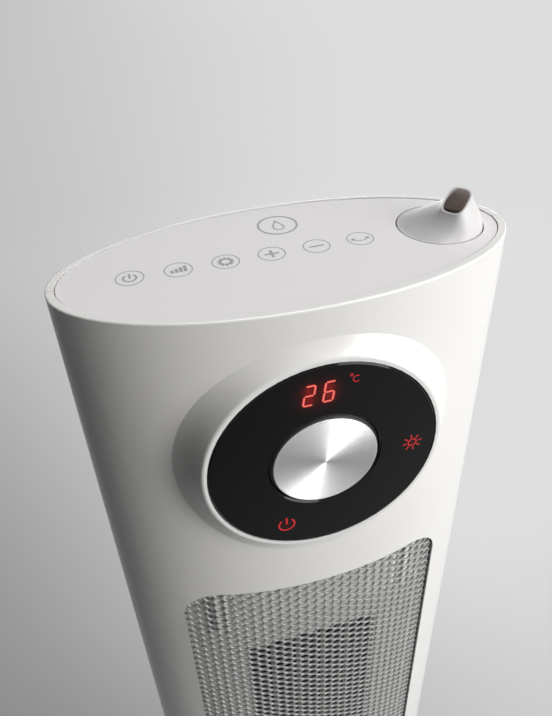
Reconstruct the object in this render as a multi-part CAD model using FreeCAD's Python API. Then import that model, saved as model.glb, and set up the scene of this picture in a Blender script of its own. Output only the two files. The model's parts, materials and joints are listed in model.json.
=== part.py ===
import FreeCAD, Part
import math
import os

# Oval tower heater on a round swivel base: a ceramic element is blown by a cross-flow wheel
# through a honeycomb front grille, with a mist unit and a turning nozzle in the top.
# Millimetres, +Z up, floor at Z = 0, the front with the display faces -Y.

V = FreeCAD.Vector

# Fits and gaps
CLEAR = 0.3
RUN_FIT = 0.05
SNUG = 0.1
SLIDE_GAP = 0.4
SCREW_FIT = 0.05

# Tower housing
BODY_WIDTH = 200.0
BODY_DEPTH = 93.2
BODY_TOP = 620.0
WALL = 2.4
SEAM_GAP = 0.3
RIM_WIDTH = 3.6
RIM_REAR = 1.8
RIM_ROUND = 0.8
PANEL_GAP = 0.4
PANEL_DROP = 0.4
PANEL_THICK = 2.6
PANEL_EDGE = 0.3
LEDGE_WIDTH = 4.0
LEDGE_THICK = 2.4
SKIRT_GAP = 3.0

# Screws that join the two housing halves
SCREW_INSET = 10.0
SCREW_LEVELS = (60.0, 250.0, 440.0, 585.0)
SCREW_BOSS = 3.5
SCREW_SHANK = 1.4
SCREW_HEAD = 2.4
SCREW_HEAD_TALL = 2.0
SCREW_BITE = 9.0
SCREW_SEAT = 6.0

# Display boss, lens and dial
DISPLAY_DROP = 76.4
LENS_RADIUS = 52.0
LENS_THICK = 2.4
LENS_PROUD = 3.8
LENS_BEVEL = 0.8
LENS_LEDGE = 4.0
BOSS_RING = 2.4
BOSS_ROUND = 1.6
BOSS_ROUND_CURVES = 4
BOSS_SPREAD = 11.0
BOSS_WAIST = 3.6
BOSS_WAIST_SHARE = 0.55
BOSS_LAP = 0.4
BOSS_SINK = 0.4
BOSS_SEAT = 2.0
BOSS_STEPS = 24
BOSS_SHELL = 6.0
DIAL_RADIUS = 23.8
DIAL_PROUD = 0.7
DIAL_SKIN = 1.0
DIAL_CHAMFER = 0.6
DIAL_GROOVE = 1.4
DIAL_GROOVE_DEEP = 1.5
DIAL_FLANGE = 2.4
ENCODER_SIZE = 13.0
ENCODER_SHAFT = 3.0
BOARD_THICK = 1.6
DISPLAY_STANDOFF = 4.4
DISPLAY_BOARD_RADIUS = 50.4
POST_RADIUS = 1.8
POST_COUNT = 4
DIGITS_WIDTH = 20.0
DIGITS_TALL = 12.4
DIGITS_X = -3.0
DIGITS_RISE = 38.6
SYMBOL_SIZE = 9.0
SYMBOL_SPOTS = ((40.0, -1.5), (-18.6, -36.0))

# Front grille: folded sheet with staggered round holes
GRILLE_DROP = 168.0
GRILLE_RISE = 82.0
GRILLE_WIDTH = 144.0
GRILLE_CORNER = 20.0
GRILLE_LAP = 4.0
GRILLE_LIP = 1.4
GRILLE_ROOM = 3.0
GRILLE_THICK = 1.0
HOLE_PITCH = 5.7
HOLE_RADIUS = 2.35
HOLE_MARGIN = 0.6

# Hot air duct: outlet plate, heating element, cross-flow wheel and its walls
OUTLET_DEPTH = 17.0
OUTLET_THICK = 2.0
OUTLET_STEP = 7.4
OUTLET_STEP_DROP = 40.0
DUCT_WIDTH = 81.0
DUCT_DROP = 244.0
DUCT_RISE = 122.0
EAR_REACH = 16.0
EAR_X = 45.0
EAR_BOSS = 4.0
EAR_BITE = 7.0
ELEMENT_DEPTH = 18.0
ELEMENT_BORDER = 6.0
BAR_COUNT = 4
BAR_THICK = 3.0
BAR_DEPTH = 14.0
FIN_PITCH = 4.0
FIN_FOLD = 1.4
FIN_DEPTH = 12.0
CUTOUT_RADIUS = 7.0
CUTOUT_TALL = 4.0
CUTOUT_FLANGE = 1.0
FAN_RADIUS = 20.0
FAN_GAP = 3.0
FAN_BLADES = 24
FAN_BLADE_WIDTH = 5.0
FAN_BLADE_THICK = 0.8
FAN_BLADE_LEAN = 18.0
FAN_BLADE_BOW = 0.3
FAN_DISC_LIP = 0.6
FAN_DISC = 2.0
FAN_DISCS = 4
FAN_END_GAP = 3.0
FAN_SHAFT = 2.5
PLATE_THICK = 2.4
DUCT_WALL = 1.6
SCROLL_GAP = 13.0
SCROLL_TIP = 3.0
TONGUE_GAP = 3.0
BEARING_RADIUS = 5.0
BEARING_FLANGE = 8.0
BEARING_FLANGE_TALL = 2.0
MOTOR_RADIUS = 26.0
MOTOR_TALL = 32.0
MOTOR_ROUND = 3.0
MOTOR_BORE_DEEP = 20.0

# Rear intake cover with its dust filter
INTAKE_WIDTH = 120.0
INTAKE_MARGIN = 12.0
INTAKE_CORNER = 10.0
INTAKE_LEDGE = 4.0
LEDGE_BITE = 0.2
COVER_STEP = 0.5
SLOT_PITCH = 9.0
SLOT_TALL = 4.0
SLOT_WIDTH = 50.0
SLOT_RIB = 6.0
FILTER_THICK = 2.0
FILTER_COLUMNS = 4
FILTER_ROWS = 11
FILTER_BAR = 2.0
FILTER_BORDER = 5.0

# Water tank and mist unit
TANK_WIDTH = 96.0
TANK_TALL = 122.0
TANK_DROP = 24.0
TANK_FRONT = 4.0
TANK_WALL = 2.4
TANK_CORNER = 6.0
GRIP_WIDTH = 52.0
GRIP_TALL = 18.0
GRIP_DEEP = 14.0
GRIP_DROP = 14.0
GRIP_LIP = 5.0
GRIP_HOOK = 6.0
NECK_X = 18.0
NECK_Y = 22.0
NECK_RADIUS = 12.0
NECK_WALL = 2.4
NECK_TALL = 9.0
CAP_STEM = 3.0
CAP_STEM_TALL = 5.0
DECK_THICK = 3.0
DECK_FRONT = -22.0
TROUGH_DEEP = 14.0
TROUGH_WALL = 2.2
TROUGH_X0 = 2.0
TROUGH_Y0 = -16.0
TROUGH_Y1 = 37.0
TROUGH_END = 15.0
MIST_DISC = 9.0
MIST_DISC_TALL = 5.0
CHIMNEY_RADIUS = 14.0
CHIMNEY_WALL = 2.0
CHIMNEY_FLANGE = 21.0
CHIMNEY_FLANGE_TALL = 2.0

# Turning mist nozzle
NOZZLE_INSET = 29.0
NOZZLE_Y = 1.2
NOZZLE_RADIUS = 18.7
NOZZLE_HOLE_GAP = 0.6
NOZZLE_SKIRT = 3.0
NOZZLE_WALL = 1.4
NOZZLE_SPIGOT = 9.0
NOZZLE_SPIGOT_WALL = 1.6
SPOUT_SHIFT_X = 4.4
SPOUT_SHIFT_Y = -4.7
SPOUT_RISE = 12.4
SPOUT_TILT = 32.0
SPOUT_AIM = -144.0
SPOUT_LONG = 7.0
SPOUT_WIDE = 5.3
SPOUT_SQUARE = 3.4
SPOUT_FLARE = 1.6
SPOUT_DRIFT = 2.5
SPOUT_THIN = 0.5
SPOUT_STEPS = 20
SPOUT_LEVELS = (0.0, 0.12, 0.35, 0.7, 1.0)

# Touch keys under the top panel
KEY_COUNT = 6
KEY_PITCH = 20.0
KEY_FIRST = -66.5
KEY_RADIUS = 4.0
KEY_GAP = 4.0
KEY_BOARD_DEPTH = 40.0
KEY_BOARD_END = 13.0
PANEL_POST = 2.5

# Round base and swivel
BASE_RADIUS = 115.0
BASE_TOP = 25.0
BASE_ROUND = 9.0
BASE_WALL = 2.6
FOOT_TALL = 4.0
FOOT_RADIUS = 9.0
FOOT_CIRCLE = 98.0
FOOT_COUNT = 4
FOOT_CHAMFER = 1.0
BASE_PLATE_THICK = 2.5
BASE_POST = 5.0
BASE_POST_CIRCLE = 91.0
BALLAST_OUTER = 70.0
BALLAST_INNER = 38.0
BALLAST_TALL = 8.0
HUB_RADIUS = 25.0
HUB_WALL = 5.0
COLLAR_WALL = 5.0
COLLAR_TALL = 8.0
WASHER_TALL = 1.0
RETAINER_REACH = 7.0
RETAINER_TALL = 3.0
HUB_SCREWS = 3
CAP_THICK = 3.0
CAP_SCREW_X = 62.0
CAP_SCREW_INSET = 3.0
CAP_SCREW_BOSS = 4.5
CAP_SCREW_TALL = 15.0
CAP_SCREW_BITE = 10.0
GLAND_RADIUS = 4.0
GLAND_FLANGE = 5.6
GLAND_FLANGE_TALL = 1.6
GLAND_SINK = 0.2
GLAND_WALL = 1.0
GLAND_LENGTH = 12.0

# Swing drive
GEAR_MODULE = 1.0
GEAR_TEETH = 72
PINION_TEETH = 12
GEAR_SECTOR_TEETH = 21
GEAR_TALL = 6.0
GEAR_BACKLASH = 0.3
GEAR_PRESSURE = 25.0
GEAR_ADDENDUM = 0.9
GEAR_DEDENDUM = 1.2
PINION_LIFT = 0.6
PINION_SHAFT = 2.5
PINION_SHAFT_GAP = 1.5
SWING_MOTOR_RADIUS = 21.0
SWING_MOTOR_TALL = 20.0
SWING_BORE_DEEP = 12.0

# Power board, mains switch and tip-over switch
POWER_WIDTH = 70.0
POWER_TALL = 52.0
POWER_X0 = -54.0
POWER_Y = -30.0
GUIDE_SIZE = 5.0
RELAY_COUNT = 3
RELAY_SIZE = (15.0, 16.0, 19.0)
RELAY_PITCH = 19.0
COIL_RADIUS = 7.0
COIL_TALL = 22.0
SWITCH_RISE = 46.0
SWITCH_HALF_X = 9.0
SWITCH_HALF_Z = 12.5
SWITCH_BEZEL = 2.0
SWITCH_BEZEL_TALL = 1.6
SWITCH_DEEP = 18.0
ROCKER_RADIUS = 10.4
ROCKER_GAP = 0.5
ROCKER_HALF_X = 7.0
ROCKER_PIN = 1.2
ROCKER_SINK = 3.4
ROCKER_TILT = 8.0
ROCKER_BACK = 3.0
TIP_INSET = 31.0
TIP_WIDTH = 20.0
TIP_DEPTH = 14.0
TIP_TALL = 12.0
PLUNGER_RADIUS = 3.0
PLUNGER_COLLAR = 4.2
PLUNGER_COLLAR_TALL = 1.2
PLUNGER_TRAVEL = 4.0
PLUNGER_LIFT = 0.3
PLUNGER_TOP = 4.0

# Places that follow from the sizes above
HALF_W = BODY_WIDTH / 2.0
HALF_D = BODY_DEPTH / 2.0
IN_W = HALF_W - WALL
IN_D = HALF_D - WALL
BODY_BOTTOM = BASE_TOP + SKIRT_GAP
PANEL_W = HALF_W - RIM_WIDTH - PANEL_GAP
PANEL_D = HALF_D - RIM_WIDTH - PANEL_GAP
PANEL_REAR = HALF_D - RIM_REAR - PANEL_GAP
PANEL_Z1 = BODY_TOP - PANEL_DROP
PANEL_Z0 = PANEL_Z1 - PANEL_THICK
LEDGE_Z0 = PANEL_Z0 - LEDGE_THICK
SCREW_X = HALF_W - SCREW_INSET

DISPLAY_Z = BODY_TOP - DISPLAY_DROP
LENS_Y = -HALF_D - LENS_PROUD
LENS_BACK = LENS_Y + LENS_THICK
BOSS_Y = LENS_Y + BOSS_SINK
BOSS_RADIUS = LENS_RADIUS + BOSS_RING
SEAT_BACK = LENS_BACK + BOSS_SEAT
DISPLAY_BOARD_Y = SEAT_BACK + DISPLAY_STANDOFF
DIAL_Y = LENS_Y - DIAL_PROUD
DIAL_FLANGE_Y = LENS_Y + DIAL_GROOVE_DEEP
DIAL_BACK = DIAL_FLANGE_Y + DIAL_FLANGE
DIAL_SOCKET_Y = DIAL_Y + 2.0 * DIAL_SKIN
ENCODER_Y = DIAL_BACK + 2.0 * CLEAR
ENCODER_END = DISPLAY_BOARD_Y - BOARD_THICK
LENS_BORE = DIAL_RADIUS + DIAL_GROOVE

GRILLE_Z0 = BODY_BOTTOM + GRILLE_RISE
GRILLE_Z1 = BODY_TOP - GRILLE_DROP
GRILLE_W = HALF_W - GRILLE_LIP - CLEAR
GRILLE_D = HALF_D - GRILLE_LIP - CLEAR
GRILLE_BACK_W = GRILLE_W - GRILLE_THICK
GRILLE_BACK_D = GRILLE_D - GRILLE_THICK

OUTLET_Y = -HALF_D + OUTLET_DEPTH
OUTLET_BACK = OUTLET_Y + OUTLET_THICK
DUCT_HALF = DUCT_WIDTH / 2.0
DUCT_Z0 = BODY_BOTTOM + DUCT_RISE
DUCT_Z1 = BODY_TOP - DUCT_DROP
FRAME_HALF = DUCT_HALF + ELEMENT_BORDER
FRAME_Z0 = DUCT_Z0 - ELEMENT_BORDER
FRAME_Z1 = DUCT_Z1 + ELEMENT_BORDER
FRAME_BACK = OUTLET_BACK + ELEMENT_DEPTH
ELEMENT_Y = OUTLET_BACK + ELEMENT_DEPTH / 2.0
FAN_Y = FRAME_BACK + FAN_GAP + FAN_RADIUS
FAN_Z0 = FRAME_Z0 + FAN_END_GAP
FAN_Z1 = FRAME_Z1 - FAN_END_GAP
PLATE_BACK = FAN_Y + FAN_RADIUS
EAR_Z0 = GRILLE_Z0 - EAR_REACH
EAR_Z1 = GRILLE_Z1 + EAR_REACH
MOTOR_Z1 = FRAME_Z0 - PLATE_THICK
BEARING_Z1 = FRAME_Z1 + PLATE_THICK + BEARING_FLANGE_TALL

INTAKE_HALF = INTAKE_WIDTH / 2.0
INTAKE_Z0 = FRAME_Z0 - INTAKE_MARGIN
INTAKE_Z1 = FRAME_Z1 + INTAKE_MARGIN

TANK_HALF = TANK_WIDTH / 2.0
TANK_Z1 = BODY_TOP - TANK_DROP
TANK_Z0 = TANK_Z1 - TANK_TALL
DECK_Z1 = TANK_Z0 - SLIDE_GAP
DECK_Z0 = DECK_Z1 - DECK_THICK
TROUGH_Z0 = DECK_Z0 - TROUGH_DEEP
NOZZLE_X = HALF_W - NOZZLE_INSET
SKIRT_Z0 = PANEL_Z0 - NOZZLE_SKIRT
CHIMNEY_Z1 = SKIRT_Z0 - CLEAR
CHIMNEY_BORE = CHIMNEY_RADIUS - CHIMNEY_WALL
SPIGOT_RADIUS = CHIMNEY_BORE - CLEAR
SPIGOT_BORE = SPIGOT_RADIUS - NOZZLE_SPIGOT_WALL

COVER_UNDER = BASE_TOP - BASE_WALL
PLATE_Z1 = FOOT_TALL + BASE_PLATE_THICK
COLLAR_BORE = HUB_RADIUS + RUN_FIT
COLLAR_RADIUS = COLLAR_BORE + COLLAR_WALL
COLLAR_Z1 = BASE_TOP + COLLAR_TALL
CAP_Z0 = COLLAR_Z1 + WASHER_TALL + SNUG
CAP_Z1 = CAP_Z0 + CAP_THICK
HUB_Z0 = COVER_UNDER - CLEAR
HUB_BORE = HUB_RADIUS - HUB_WALL
GLAND_Y1 = BASE_RADIUS - GLAND_SINK
GLAND_Z = PLATE_Z1 + CLEAR + GLAND_RADIUS + SNUG
TIP_Y = TIP_INSET - BASE_RADIUS
CAP_W = IN_W - CLEAR
CAP_D = IN_D - CLEAR
CAP_SCREW_Y = IN_D * math.sqrt(1.0 - (CAP_SCREW_X / IN_W) ** 2) - CAP_SCREW_INSET
COLLAR_TOP = PLATE_Z1 + CLEAR + PLUNGER_TRAVEL + PLUNGER_COLLAR_TALL
KEY_X0 = KEY_FIRST - KEY_BOARD_END
KEY_X1 = KEY_FIRST + KEY_PITCH * (KEY_COUNT - 1) + KEY_BOARD_END

GEAR_RADIUS = GEAR_MODULE * GEAR_TEETH / 2.0
PINION_RADIUS = GEAR_MODULE * PINION_TEETH / 2.0
PINION_X = GEAR_RADIUS + PINION_RADIUS
POWER_X1 = POWER_X0 + POWER_WIDTH
SWITCH_Z = BODY_BOTTOM + SWITCH_RISE
ROCKER_Y = HALF_D + SWITCH_BEZEL_TALL - ROCKER_SINK


def box(x0, x1, y0, y1, z0, z1):
    """Block between two corners."""
    return Part.makeBox(x1 - x0, y1 - y0, z1 - z0, V(x0, y0, z0))


def rod(x, y, radius, z0, z1):
    """Upright cylinder."""
    return Part.makeCylinder(radius, z1 - z0, V(x, y, z0))


def ring(x, y, outer, inner, z0, z1):
    """Upright tube."""
    return rod(x, y, outer, z0, z1).cut(rod(x, y, inner, z0, z1))


def rod_y(x, z, radius, y0, y1):
    """Cylinder that runs from front to back."""
    return Part.makeCylinder(radius, y1 - y0, V(x, y0, z), V(0, 1, 0))


def rod_x(y, z, radius, half):
    """Cylinder across the object, centred on X = 0."""
    return Part.makeCylinder(radius, 2.0 * half, V(-half, y, z), V(1, 0, 0))


def oval(rx, ry, z0, z1):
    """Upright elliptic prism."""
    edge = Part.Ellipse(V(0, 0, z0), rx, ry).toShape()
    return Part.Face(Part.Wire(edge)).extrude(V(0, 0, z1 - z0))


def egg(rx, front, rear, z0, z1):
    """Upright prism whose front and rear halves are half ellipses of the same width."""
    halves = []
    for depth, y0, y1 in ((front, -BODY_DEPTH, 0.0), (rear, 0.0, BODY_DEPTH)):
        halves.append(oval(rx, depth, z0, z1).common(box(-BODY_WIDTH, BODY_WIDTH, y0, y1, z0, z1)))
    return join(halves)


def half_depth(x, rx, ry):
    """Half depth of an ellipse at a distance x from its middle."""
    return ry * math.sqrt(1.0 - (x / rx) ** 2)


def slab_y(x0, x1, z0, z1, radius, y0, y1):
    """Block with its four edges along Y rounded."""
    block = box(x0, x1, y0, y1, z0, z1)
    edges = [e for e in block.Edges if abs(e.tangentAt(e.FirstParameter).y) > 0.9]
    return block.makeFillet(radius, edges)


def slab_z(x0, x1, y0, y1, radius, z0, z1):
    """Block with its four upright edges rounded."""
    block = box(x0, x1, y0, y1, z0, z1)
    edges = [e for e in block.Edges if abs(e.tangentAt(e.FirstParameter).z) > 0.9]
    return block.makeFillet(radius, edges)


def join(shapes):
    """One clean solid from overlapping or touching solids."""
    return shapes[0].multiFuse(shapes[1:]).removeSplitter()


def rim_edges(shape, z):
    """Edges that lie wholly at one height."""
    return [e for e in shape.Edges if abs(e.BoundBox.ZMin - z) < 1e-4 and abs(e.BoundBox.ZMax - z) < 1e-4]


def face_edges(shape, y):
    """Edges that lie wholly in one upright plane across Y."""
    return [e for e in shape.Edges if abs(e.BoundBox.YMin - y) < 1e-4 and abs(e.BoundBox.YMax - y) < 1e-4]


def circle_spots(radius, count, start):
    """Evenly spaced places on a circle round the base axis."""
    spots = []
    for step in range(count):
        angle = math.radians(start + 360.0 * step / count)
        spots.append((radius * math.cos(angle), radius * math.sin(angle)))
    return spots


def screw_y(x, z, seat, bite):
    """Pan-head screw driven towards -Y: the head stands behind its seat."""
    head = rod_y(x, z, SCREW_HEAD, seat, seat + SCREW_HEAD_TALL)
    head = head.makeFillet(SCREW_HEAD_TALL * 0.4, face_edges(head, seat + SCREW_HEAD_TALL))
    return head.fuse(rod_y(x, z, SCREW_SHANK, seat - bite, seat)).removeSplitter()


def screw_z(x, y, seat, bite):
    """Pan-head screw driven upward: the head stands below its seat."""
    head = rod(x, y, SCREW_HEAD, seat - SCREW_HEAD_TALL, seat)
    head = head.makeFillet(SCREW_HEAD_TALL * 0.4, rim_edges(head, seat - SCREW_HEAD_TALL))
    return head.fuse(rod(x, y, SCREW_SHANK, seat, seat + bite)).removeSplitter()


def closed_curve(points):
    """Smooth closed wire through the points."""
    curve = Part.BSplineCurve()
    curve.interpolate(Points=points, PeriodicFlag=True)
    return Part.Wire(curve.toShape())


def boss_curve(radius, share):
    """Curve round the display axis, a share of the way back from the boss face to the wall."""
    points = []
    for step in range(BOSS_STEPS):
        angle = 2.0 * math.pi * step / BOSS_STEPS
        x = radius * math.cos(angle)
        wall = -half_depth(x, HALF_W, HALF_D) + BOSS_LAP
        points.append(V(x, BOSS_Y + share * (wall - BOSS_Y), DISPLAY_Z + radius * math.sin(angle)))
    return closed_curve(points)


def boss_round(share):
    """Curve on the rounded edge of the boss, a share of the way from its face to its flare."""
    points = []
    for step in range(BOSS_STEPS):
        angle = 2.0 * math.pi * step / BOSS_STEPS
        wall = -half_depth(BOSS_RADIUS * math.cos(angle), HALF_W, HALF_D) + BOSS_LAP
        slope = math.atan2(BOSS_WAIST_SHARE * (wall - BOSS_Y), BOSS_WAIST)
        turn = share * slope
        radius = BOSS_RADIUS - BOSS_ROUND * (math.tan(slope / 2.0) - math.sin(turn))
        y = BOSS_Y + BOSS_ROUND * (1.0 - math.cos(turn))
        points.append(V(radius * math.cos(angle), y, DISPLAY_Z + radius * math.sin(angle)))
    return closed_curve(points)


def foot_ring(radius, y):
    """Flat closed curve behind the wall that closes the boss."""
    points = []
    for step in range(BOSS_STEPS):
        angle = 2.0 * math.pi * step / BOSS_STEPS
        points.append(V(radius * math.cos(angle), y, DISPLAY_Z + radius * math.sin(angle)))
    return closed_curve(points)


def display_boss():
    """Round boss that flares into the oval front wall."""
    foot_radius = BOSS_RADIUS + BOSS_SPREAD
    edges = [boss_round(step / (BOSS_ROUND_CURVES - 1.0)) for step in range(BOSS_ROUND_CURVES)]
    waist = boss_curve(BOSS_RADIUS + BOSS_WAIST, BOSS_WAIST_SHARE)
    foot = boss_curve(foot_radius, 1.0)
    back = foot_ring(foot_radius, -half_depth(foot_radius, HALF_W, HALF_D) + 2.0 * WALL)
    edge = Part.makeLoft(edges, False, False)
    flare = Part.makeLoft([edges[-1], waist, foot], False, False)
    sides = Part.makeLoft([foot, back], False, True)
    shell = Part.Shell(edge.Faces + flare.Faces + sides.Faces + [Part.Face(edges[0]), Part.Face(back)])
    shell.sewShape()
    return Part.Solid(shell)


def tower_block():
    """Solid oval tower with its rounded upper edge."""
    block = oval(HALF_W, HALF_D, BODY_BOTTOM, BODY_TOP)
    return block.makeFillet(RIM_ROUND, rim_edges(block, BODY_TOP))


def tower_hollow():
    """Space inside the housing: the bay, the throat of the ledge and the seat of the top panel."""
    bay = oval(IN_W, IN_D, BODY_BOTTOM, LEDGE_Z0)
    throat = oval(PANEL_W - LEDGE_WIDTH, PANEL_D - LEDGE_WIDTH, LEDGE_Z0, PANEL_Z0)
    seat = egg(PANEL_W + PANEL_GAP, PANEL_D + PANEL_GAP, PANEL_REAR + PANEL_GAP, PANEL_Z0, BODY_TOP)
    return bay.multiFuse([throat, seat])


def half_space(side):
    """Block that keeps the front (-1) or the rear (+1) half of the tower, short of the seam."""
    near = side * SEAM_GAP / 2.0
    far = side * BODY_DEPTH
    return box(-BODY_WIDTH, BODY_WIDTH, min(near, far), max(near, far), 0.0, BODY_TOP + WALL)


def shell_lugs(side):
    """Screw pillars that grow from the inside of one housing half."""
    near = side * SEAM_GAP / 2.0
    far = side * HALF_D
    lugs = []
    for x in (-SCREW_X, SCREW_X):
        for z in SCREW_LEVELS:
            lugs.append(rod_y(x, z, SCREW_BOSS, min(near, far), max(near, far)))
    for x in (-CAP_SCREW_X, CAP_SCREW_X):
        lugs.append(rod(x, side * CAP_SCREW_Y, CAP_SCREW_BOSS, CAP_Z1, CAP_Z1 + CAP_SCREW_TALL))
    return lugs


def cap_screw_holes(side):
    """Pilot holes of the bottom cap screws in one housing half."""
    spots = ((-CAP_SCREW_X, side * CAP_SCREW_Y), (CAP_SCREW_X, side * CAP_SCREW_Y))
    return [rod(x, y, SCREW_SHANK + SCREW_FIT, CAP_Z1, CAP_Z1 + CAP_SCREW_BITE) for x, y in spots]


def keep_inside(shapes):
    """Trim pillars so that they end within the housing wall."""
    limit = oval(HALF_W - WALL / 2.0, HALF_D - WALL / 2.0, BODY_BOTTOM, BODY_TOP)
    return [shape.common(limit) for shape in shapes]


def front_shell():
    """Front half of the housing with the display boss and the grille window."""
    body = tower_block().fuse(display_boss()).common(half_space(-1)).cut(tower_hollow())
    lugs = shell_lugs(-1)
    for x in (-EAR_X, EAR_X):
        for z in (EAR_Z0, EAR_Z1):
            lugs.append(rod_y(x, z, EAR_BOSS, -HALF_D, OUTLET_Y))
    body = body.multiFuse(keep_inside(lugs))
    cone_y1 = -half_depth(BOSS_RADIUS + BOSS_SPREAD, IN_W, IN_D)
    cone_r1 = BOSS_RADIUS + BOSS_SPREAD - BOSS_SHELL
    cuts = cap_screw_holes(-1)
    cuts.append(rod_y(0.0, DISPLAY_Z, LENS_RADIUS + CLEAR, LENS_Y - WALL, LENS_BACK))
    cuts.append(rod_y(0.0, DISPLAY_Z, LENS_RADIUS - LENS_LEDGE, LENS_BACK, SEAT_BACK))
    cone_deep = cone_y1 - SEAT_BACK
    cuts.append(Part.makeCone(LENS_RADIUS, cone_r1, cone_deep, V(0, SEAT_BACK, DISPLAY_Z), V(0, 1, 0)))
    half = GRILLE_WIDTH / 2.0
    window_back = OUTLET_Y + OUTLET_DEPTH / 2.0
    cuts.append(slab_y(-half, half, GRILLE_Z0, GRILLE_Z1, GRILLE_CORNER, -BODY_DEPTH, window_back))
    cuts.append(grille_rebate())
    for x in (-SCREW_X, SCREW_X):
        for z in SCREW_LEVELS:
            cuts.append(rod_y(x, z, SCREW_SHANK + SCREW_FIT, -SCREW_BITE - SEAM_GAP, 0.0))
    for x in (-EAR_X, EAR_X):
        for z in (EAR_Z0, EAR_Z1):
            cuts.append(rod_y(x, z, SCREW_SHANK + SCREW_FIT, OUTLET_Y - EAR_BITE, OUTLET_Y))
    body = body.cut(cuts)
    post_y0 = LENS_BACK + BOSS_SEAT / 2.0
    posts = [rod_y(x, DISPLAY_Z + z, POST_RADIUS, post_y0, DISPLAY_BOARD_Y) for x, z in post_spots()]
    return join([body] + posts)


def grille_rebate():
    """Room behind the window, cut into the wall so that only a thin lip covers the edge of the grille."""
    half = GRILLE_WIDTH / 2.0 + GRILLE_LAP + GRILLE_ROOM
    z0 = GRILLE_Z0 - GRILLE_LAP - CLEAR
    z1 = GRILLE_Z1 + GRILLE_LAP + CLEAR
    room = oval(HALF_W - GRILLE_LIP, HALF_D - GRILLE_LIP, z0, z1)
    return room.common(box(-half, half, -BODY_DEPTH, 0.0, z0, z1))


def post_spots():
    """Places of the posts that carry the display board."""
    return circle_spots(LENS_RADIUS - LENS_LEDGE + POST_RADIUS + CLEAR, POST_COUNT, 45.0)


def intake_slab(margin):
    """Rounded outline of the rear intake, grown by a margin, as a block along Y."""
    half = INTAKE_HALF + margin
    corner = INTAKE_CORNER + margin
    return slab_y(-half, half, INTAKE_Z0 - margin, INTAKE_Z1 + margin, corner, 0.0, BODY_DEPTH)


def tank_slab(margin, front):
    """Rounded outline of the tank window, grown by a margin, as a block along Y."""
    half = TANK_HALF + margin
    return slab_y(-half, half, TANK_Z0 - margin, TANK_Z1 + margin, TANK_CORNER + margin, front, BODY_DEPTH)


def rear_shell():
    """Rear half of the housing with the intake window, the tank window and the switch hole."""
    body = tower_block().common(half_space(1)).cut(tower_hollow())
    body = body.multiFuse(keep_inside(shell_lugs(1)))
    seat = SEAM_GAP / 2.0 + SCREW_SEAT
    cuts = cap_screw_holes(1)
    for x in (-SCREW_X, SCREW_X):
        for z in SCREW_LEVELS:
            cuts.append(rod_y(x, z, SCREW_SHANK + CLEAR, 0.0, seat))
            cuts.append(rod_y(x, z, SCREW_HEAD + CLEAR, seat, HALF_D))
    cuts.append(intake_slab(0.0))
    cuts.append(tank_slab(SLIDE_GAP, TANK_FRONT))
    half_x = SWITCH_HALF_X + SNUG
    half_z = SWITCH_HALF_Z + SNUG
    cuts.append(box(-half_x, half_x, IN_D - SWITCH_DEEP, BODY_DEPTH, SWITCH_Z - half_z, SWITCH_Z + half_z))
    body = body.cut(cuts)
    lip = oval(IN_W + LEDGE_BITE, IN_D + LEDGE_BITE, BODY_BOTTOM, BODY_TOP)
    lip = lip.cut(oval(IN_W - WALL, IN_D - WALL, BODY_BOTTOM, BODY_TOP))
    lip = lip.common(intake_slab(INTAKE_LEDGE)).cut(intake_slab(-INTAKE_LEDGE))
    return join([body, lip])


def shell_screws():
    """Screws that draw the rear half on to the front half."""
    seat = SEAM_GAP / 2.0 + SCREW_SEAT
    bite = SCREW_SEAT + SCREW_BITE
    screws = []
    for x in (-SCREW_X, SCREW_X):
        for z in SCREW_LEVELS:
            screws.append(screw_y(x, z, seat, bite))
    return Part.makeCompound(screws)


def top_panel():
    """Flat oval panel with the nozzle hole and posts for the key board below."""
    plate = egg(PANEL_W, PANEL_D, PANEL_REAR, PANEL_Z0, PANEL_Z1)
    plate = plate.makeFillet(PANEL_EDGE, rim_edges(plate, PANEL_Z1))
    plate = plate.cut(rod(NOZZLE_X, NOZZLE_Y, NOZZLE_RADIUS + NOZZLE_HOLE_GAP, PANEL_Z0, PANEL_Z1))
    posts = []
    for x in (KEY_X0 + 2.0 * PANEL_POST, KEY_X1 - 2.0 * PANEL_POST):
        for side in (-1, 1):
            y = side * (KEY_BOARD_DEPTH / 2.0 - 2.0 * PANEL_POST)
            posts.append(rod(x, y, PANEL_POST, PANEL_Z0 - KEY_GAP, PANEL_Z0 + PANEL_THICK / 2.0))
    return join([plate] + posts)


def touch_board():
    """Circuit board of the touch keys."""
    top = PANEL_Z0 - KEY_GAP
    half = KEY_BOARD_DEPTH / 2.0
    return slab_z(KEY_X0, KEY_X1, -half, half, 2.0 * PANEL_POST, top - BOARD_THICK, top)


def touch_springs():
    """Contact springs between the key board and the panel, one per key."""
    springs = []
    for step in range(KEY_COUNT):
        springs.append(rod(KEY_FIRST + KEY_PITCH * step, 0.0, KEY_RADIUS, PANEL_Z0 - KEY_GAP, PANEL_Z0))
    return Part.makeCompound(springs)


def display_lens():
    """Dark round lens with bevelled edges and the hole for the dial."""
    disc = rod_y(0.0, DISPLAY_Z, LENS_RADIUS, LENS_Y, LENS_BACK)
    disc = disc.cut(rod_y(0.0, DISPLAY_Z, LENS_BORE, LENS_Y, LENS_BACK))
    return disc.makeChamfer(LENS_BEVEL, face_edges(disc, LENS_Y))


def display_board():
    """Round circuit board behind the lens."""
    return rod_y(0.0, DISPLAY_Z, DISPLAY_BOARD_RADIUS, DISPLAY_BOARD_Y, DISPLAY_BOARD_Y + BOARD_THICK)


def light_box(x, rise, width, tall):
    """Light module between the display board and the lens."""
    z = DISPLAY_Z + rise
    return box(x - width / 2.0, x + width / 2.0, LENS_BACK, DISPLAY_BOARD_Y, z - tall / 2.0, z + tall / 2.0)


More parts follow.
